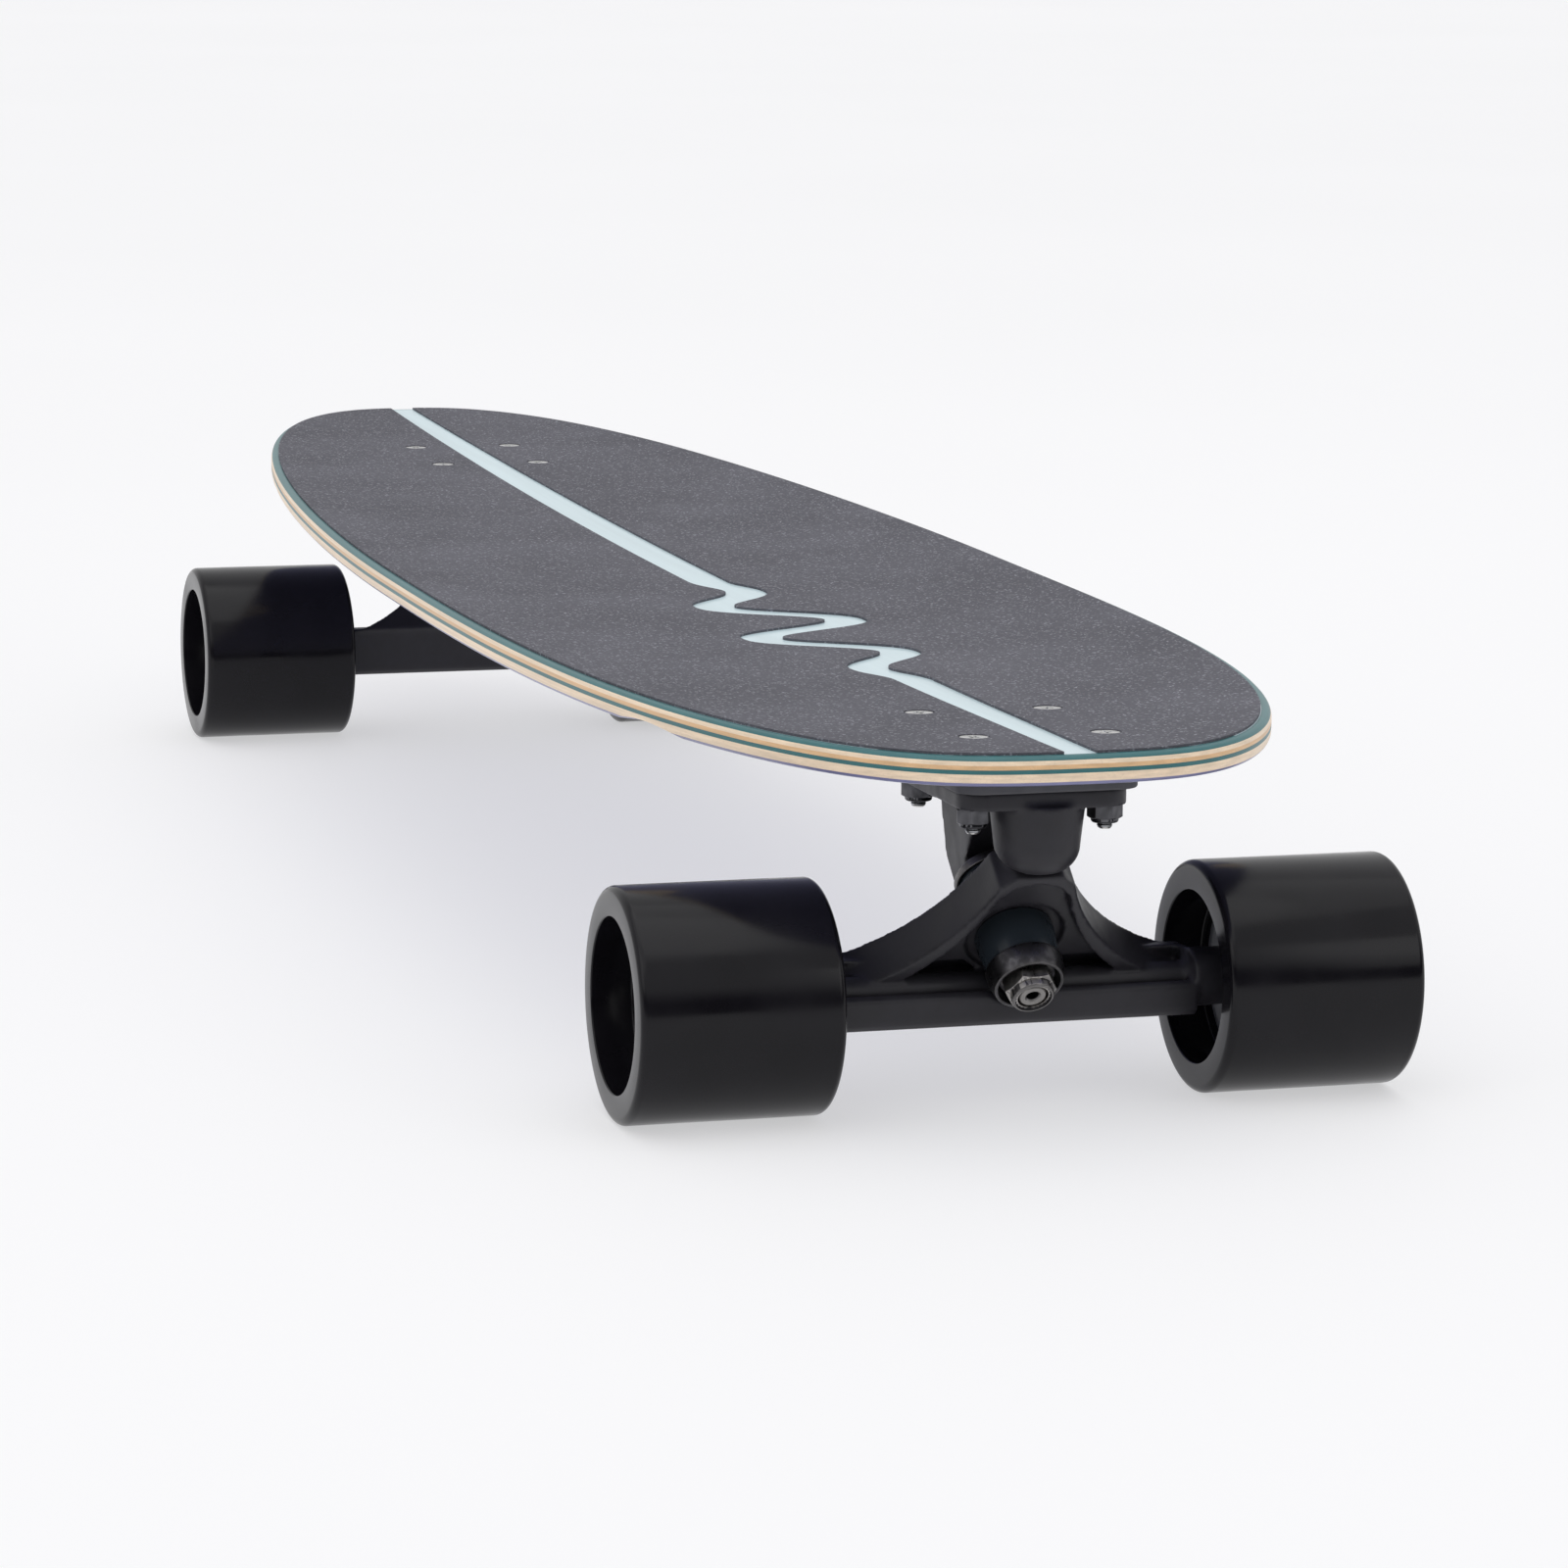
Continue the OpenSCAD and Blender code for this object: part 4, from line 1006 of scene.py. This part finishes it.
class LONGBOARD_OT_kingpins(Operator):
    """Turns the kingpins, their washers, lock nuts and bushings"""

    bl_idname = "longboard.kingpins"
    bl_label = "Kingpins and bushings"

    def execute(self, context):
        scene = context.scene
        truck = scene.longboard_truck
        pin, seat = truck.kingpin / MM / 2, truck.seat / MM / 2
        bore, wall, floor = pin + 0.15, 1.0, 2
        high, nut = truck.bushing_height / MM, truck.kingpin_nut / MM
        wide, tip = truck.bushing / MM / 2, truck.bushing_tip / MM / 2
        # stations along the kingpin, from its head to its end at the road
        board_seat, road_seat = -seat - high - floor, seat + high
        head_top, nut_low = board_seat - 11, road_seat + floor
        nut_hexagon, nut_height = 6.6, 9.2
        thread_low, end_z = nut_low - 4, nut_low + 8.4
        pin_profile = [
            (0, head_top - 2), (pin, head_top - 2), (pin, thread_low),
            *threads(pin, thread_low, end_z - 1, 1.25),
            (pin - 0.3, end_z - 0.6), (pin - 0.9, end_z), (2.5, end_z), (1.9, end_z - 0.6),
            (1.8, end_z - 3), (0, end_z - 3.4),
        ]
        # the boardside washer is a plain cup, the roadside one a tall bowl round the nut
        lip, base = board_seat + 3.3, board_seat + floor
        cup = [
            (bore, board_seat), (wide + wall, board_seat), (wide + wall, lip),
            (wide + 0.1, lip), (wide + 0.1, base), (bore, base),
        ]
        bowl_r, nut_r, rim = tip + 0.35, nut / 2, road_seat + 6
        bowl = [
            (bore, road_seat), (bowl_r, road_seat), (bowl_r, road_seat - 1.3),
            (bowl_r + wall, road_seat - 1.3), (bowl_r + wall, road_seat + 1.6), (bowl_r - 0.3, rim),
            (nut_r + 2.6, rim), (nut_r + 1.9, road_seat + floor), (bore, road_seat + floor),
        ]
        # each bushing: its profile, its rounded corners, and its ends at the washer and the hanger
        bushings = {
            "boardside": (
                [(bore, -seat - high), (wide, -seat - high), (wide, -seat), (bore, -seat)],
                ((1, 1.0), (2, 1.0)), -seat - high, -seat,
            ),
            "roadside": (
                [(bore, seat), (wide, seat), (wide, seat + high * 0.35), (tip, seat + high),
                 (bore, seat + high)],
                ((1, 0.8), (2, 4.0), (3, 0.8)), seat + high, seat,
            ),
        }
        for end in ENDS:
            place = kingpin_frame(scene, end)
            shaft = object_from(
                turned(pin_profile, place, steps=64, closed=False), f"{end}_kingpin_bolt"
            )
            combine(shaft, hexagon(nut, head_top - 6, head_top, place), operation="UNION")
            dress(shaft, "dark_steel", "deck", "dark_steel", f"{end}_kingpin")

            on_washer = place @ Matrix.Translation((0, 0, nut_low * MM))
            lock = lock_nut(
                f"{end}_kingpin_lock_nut", nut, nut_hexagon, nut_height, pin + 0.03, on_washer
            )
            dress(lock, "dark_steel", "deck", "dark_steel", f"{end}_kingpin_nut", angle=28)

            bm = turned(cup, place, rounds=((1, 0.9), (2, 0.35), (3, 0.35)))
            bowl_rounds = ((3, 0.3), (4, 2.4), (5, 0.4), (6, 0.35), (7, 0.8))
            join(bm, turned(bowl, place, rounds=bowl_rounds, segments=6))
            washers = object_from(bm, f"{end}_cup_washers")
            dress(washers, "dark_steel", "deck", "dark_steel", f"{end}_bushing_washers", angle=30)

            for name, (profile, rounds, far, near) in bushings.items():
                bm = turned(profile, place, rounds=rounds, segments=8)
                long_edges = [e for e in bm.edges if e.calc_length() > 3 * MM]
                bmesh.ops.subdivide_edges(bm, edges=long_edges, cuts=6, use_grid_fill=True)
                bushing = object_from(bm, f"{end}_{name}_urethane")
                replaced = f"{end}_{name}_bushing"
                dress(bushing, "bushing", None, "bushing_urethane", replaced, angle=40)
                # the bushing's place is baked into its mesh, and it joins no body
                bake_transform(bushing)
        return {"FINISHED"}


class LONGBOARD_OT_hardware(Operator):
    """Makes the mounting bolts and their lock nuts"""

    bl_idname = "longboard.hardware"
    bl_label = "Mounting bolts"

    def execute(self, context):
        scene = context.scene
        truck = scene.longboard_truck
        shank, head, nut = truck.bolt / MM / 2, truck.bolt_head / MM / 2, truck.bolt_nut / MM
        flange_low = (truck.height - truck.flange) / MM
        top, thread_high = tape_top(scene) - 0.25, flange_low + 6
        end_z, cone = flange_low - 7.8, top - 0.4
        profile = [
            (0, end_z), (shank - 0.7, end_z), (shank - 0.2, end_z + 0.5),
            *threads(shank, end_z + 0.6, thread_high, 0.9),
            (shank, thread_high + 0.4), (shank, cone - (head - shank)), (head - 0.05, cone),
            (head - 0.05, top - 0.15), (head - 0.25, top), (0, top),
        ]
        recess_length, recess_width, recess_height = 5.0, 1.0, 3.4
        # how far each bolt and nut was left turned, in degrees, and the rear bolts' further turn
        bolt_turns, nut_turns, rear_turn = (17, 62, 40, 5), (8, 35, 50, 21), 31
        for end in ENDS:
            bolts, nuts = [], []
            for i, place in enumerate(bolt_frames(scene, end)):
                bolt = object_from(turned(profile, place, steps=48, closed=False), "bolt")
                # cross recess: two wings that narrow with depth
                bm = bmesh.new()
                for turn in (0, math.pi / 2):
                    wing = bmesh.ops.create_cube(bm, size=1)["verts"]
                    size = (recess_length * MM, recess_width * MM, recess_height * MM)
                    bmesh.ops.scale(bm, vec=size, verts=wing)
                    low = [v for v in wing if v.co.z < 0]
                    bmesh.ops.scale(bm, vec=(0.45, 0.6, 1), verts=low)
                    bmesh.ops.rotate(bm, matrix=Matrix.Rotation(turn, 3, "Z"), verts=wing)
                angle = math.radians(bolt_turns[i] + (0 if end == "front" else rear_turn))
                at_top = place @ Matrix.Translation((0, 0, (top - 0.3) * MM))
                at_top = at_top @ Matrix.Rotation(angle, 4, "Z")
                bmesh.ops.transform(bm, verts=bm.verts, matrix=at_top)
                bolts.append(combine(bolt, object_from(bm, "cross"), crossing=True))
                down = place @ Matrix.Translation((0, 0, flange_low * MM))
                down = down @ Matrix.Rotation(math.pi, 4, "X")
                turn = Matrix.Rotation(math.radians(nut_turns[i]), 4, "Z")
                nuts.append(lock_nut("nut", nut, 4.6, 6.0, shank + 0.03, down @ turn))
            bolt_set = merged(f"{end}_mounting_bolts", bolts)
            dress(bolt_set, "steel", "deck", "zinc_steel", f"{end}_deck_bolts", angle=30)
            nut_set = merged(f"{end}_mounting_nuts", nuts)
            dress(nut_set, "black_oxide", "deck", "black_oxide_steel", f"{end}_deck_nuts", angle=28)
        return {"FINISHED"}


class LONGBOARD_OT_axles(Operator):
    """Turns the axles and their lock nuts"""

    bl_idname = "longboard.axles"
    bl_label = "Axles"

    def execute(self, context):
        scene = context.scene
        wheel = scene.longboard_wheel
        radius, nut = wheel.axle / MM / 2, wheel.axle_nut / MM
        # bearings, spacer and the outer speed ring, from the wheel's middle to its nut
        stack = Matrix.Translation((0, 0, wheel.spacer / 2 + wheel.bearing_width + 1 * MM))
        for end in ENDS:
            low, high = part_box(f"{end}_axle")
            half = (high.y - low.y) / 2 / MM
            sideways = Matrix.Translation(axle_middle(end)) @ Matrix.Rotation(-math.pi / 2, 4, "X")
            thread = threads(radius, half - 12, half - 0.9, 1.0)
            side = [(radius, half - 12.2), *thread, (radius - 0.9, half), (0, half)]
            profile = [(r, -z) for r, z in reversed(side)] + side
            axle = object_from(turned(profile, sideways, steps=64, closed=False), f"{end}_axle_bar")
            dress(axle, "steel", f"{end}_hanger", "zinc_steel", f"{end}_axle", angle=30)
            nuts = [
                lock_nut("nut", nut, 5.6, 7.6, radius + 0.03, wheel_frame(end, side) @ stack)
                for side in SIDES
            ]
            pair = merged(f"{end}_axle_lock_nuts", nuts)
            dress(pair, "steel", f"{end}_hanger", "zinc_steel", f"{end}_axle_nuts", angle=28)
        return {"FINISHED"}


class LONGBOARD_OT_wheels(Operator):
    """Pours the four urethane wheels on their cores and fits the bearings' rings and shields"""

    bl_idname = "longboard.wheels"
    bl_label = "Wheels"

    def execute(self, context):
        scene = context.scene
        wheel = scene.longboard_wheel
        low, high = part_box("front_left_tyre")
        radius, half = (high.z - low.z) / 2 / MM, (high.y - low.y) / 2 / MM
        opening, core_half = wheel.opening / MM / 2, wheel.core_width / MM / 2
        core_r, lip, seat = opening - 2.2, wheel.lip / MM, core_half + 1.5
        race, wide = wheel.bearing / MM / 2, wheel.bearing_width / MM
        near = wheel.spacer / MM / 2
        far, bore, hole = near + wide, race + 0.02, core_r + 0.03
        pitch = (race + wheel.axle / MM / 2) / 2
        tyre = [
            (opening, -half), (radius, -half), (radius, half), (opening, half),
            (opening, seat), (hole, seat), (hole, -seat), (opening, -seat),
        ]
        tyre_rounds = ((0, 0.5), (1, lip), (2, lip), (3, 0.5), (4, 0.5), (7, 0.5))
        # the core: a hub that holds the bearings, a web that leans outwards, and a rim
        hub, web, rim = 9.4, 15, core_r - 1.6
        core = [
            (hub, -near), (bore, -near), (bore, -far), (web, -far), (rim, -core_half),
            (core_r, -core_half), (core_r, core_half), (rim, core_half),
            (web, far), (bore, far), (bore, near), (hub, near),
        ]
        core_rounds = ((3, 1.2), (8, 1.2), (4, 0.5), (7, 0.5), (2, 0.3), (9, 0.3))
        face, land, inner = wide / 2, pitch + 2, wide / 2 - 0.4
        outer_ring = [
            (pitch + 1.5, -inner), (land, -inner), (land, -face), (race - 0.03, -face),
            (race - 0.03, face), (land, face), (land, inner), (pitch + 1.5, inner),
        ]
        # the shield: radius from the balls' circle, and height from its middle towards the outside
        shield = (
            (-1.35, -0.2), (1.97, -0.2), (1.97, 0.2), (1.2, 0.2),
            (0.9, 0.08), (-0.7, 0.08), (-1.0, 0.2), (-1.35, 0.2),
        )
        for end in ENDS:
            for side in SIDES:
                name, body = f"{end}_{side}", f"{end}_{side}_wheel"
                place = wheel_frame(end, side)
                pieces = {
                    "urethane": turned(tyre, place, steps=144, rounds=tyre_rounds, segments=8),
                    "nylon_core": turned(core, place, steps=128, rounds=core_rounds),
                    "races": bmesh.new(),
                    "shields": bmesh.new(),
                }
                for middle in (-(near + wide / 2), near + wide / 2):
                    at = place @ Matrix.Translation((0, 0, middle * MM))
                    ring = turned(outer_ring, at, rounds=((3, 0.35), (4, 0.35)), segments=3)
                    join(pieces["races"], ring)
                    for out in (-1, 1):
                        profile = [(pitch + r, out * (face - 0.2 + z)) for r, z in shield]
                        join(pieces["shields"], turned(profile, at))
                for piece, look, slot, replaced, angle in (
                    ("urethane", "wheel", "wheel_urethane", "tyre", 40),
                    ("nylon_core", "core", "wheel_core", "core", 35),
                    ("races", "bearing", "bearing_steel", "bearing_outer_rings", 30),
                    ("shields", "shield", "shield_plastic", "bearing_shields", 30),
                ):
                    made = object_from(pieces[piece], f"{name}_{piece}")
                    dress(made, look, body, slot, f"{name}_{replaced}", angle=angle)
        return {"FINISHED"}


class LONGBOARD_OT_small_parts(Operator):
    """Gives the pieces that keep their CAD shape their finishes"""

    bl_idname = "longboard.small_parts"
    bl_label = "Small parts"

    def execute(self, context):
        looks = {
            "pivot_cup": "shield",
            "speed_rings": "steel",
            "bearing_spacers": "steel",
            "bearing_inner_rings": "bearing",
            "bearing_balls": "bearing",
        }
        for end in ENDS:
            for part, finish in looks.items():
                kept = frame["nodes"][f"{end}_{part}"]
                kept.data.materials.clear()
                kept.data.materials.append(FINISH[finish])
        return {"FINISHED"}


class LONGBOARD_PT_panel(Panel):
    """Lists the longboard's steps, sizes and colours"""

    bl_idname = "LONGBOARD_PT_panel"
    bl_label = "Longboard"
    bl_space_type = "VIEW_3D"
    bl_region_type = "UI"
    bl_category = "Longboard"

    def draw(self, context):
        for step in STEPS:
            self.layout.operator(step.bl_idname)
        for name, group in SETTINGS.items():
            box = self.layout.box()
            values = getattr(context.scene, name)
            for key in group.__annotations__:
                box.prop(values, key)


STEPS = (
    LONGBOARD_OT_stage,
    LONGBOARD_OT_plies,
    LONGBOARD_OT_tape,
    LONGBOARD_OT_castings,
    LONGBOARD_OT_risers,
    LONGBOARD_OT_kingpins,
    LONGBOARD_OT_hardware,
    LONGBOARD_OT_axles,
    LONGBOARD_OT_wheels,
    LONGBOARD_OT_small_parts,
)
CLASSES = (*SETTINGS.values(), *STEPS, LONGBOARD_PT_panel)


def register():
    for cls in CLASSES:
        bpy.utils.register_class(cls)
    for name, group in SETTINGS.items():
        setattr(bpy.types.Scene, name, PointerProperty(type=group))


def unregister():
    for name in SETTINGS:
        delattr(bpy.types.Scene, name)
    for cls in reversed(CLASSES):
        bpy.utils.unregister_class(cls)


def main():
    register()
    FINISH.update(make_materials(bpy.context.scene))
    for step in STEPS:
        group, name = step.bl_idname.split(".")
        getattr(getattr(bpy.ops, group), name)()


if __name__ == "__main__":
    main()
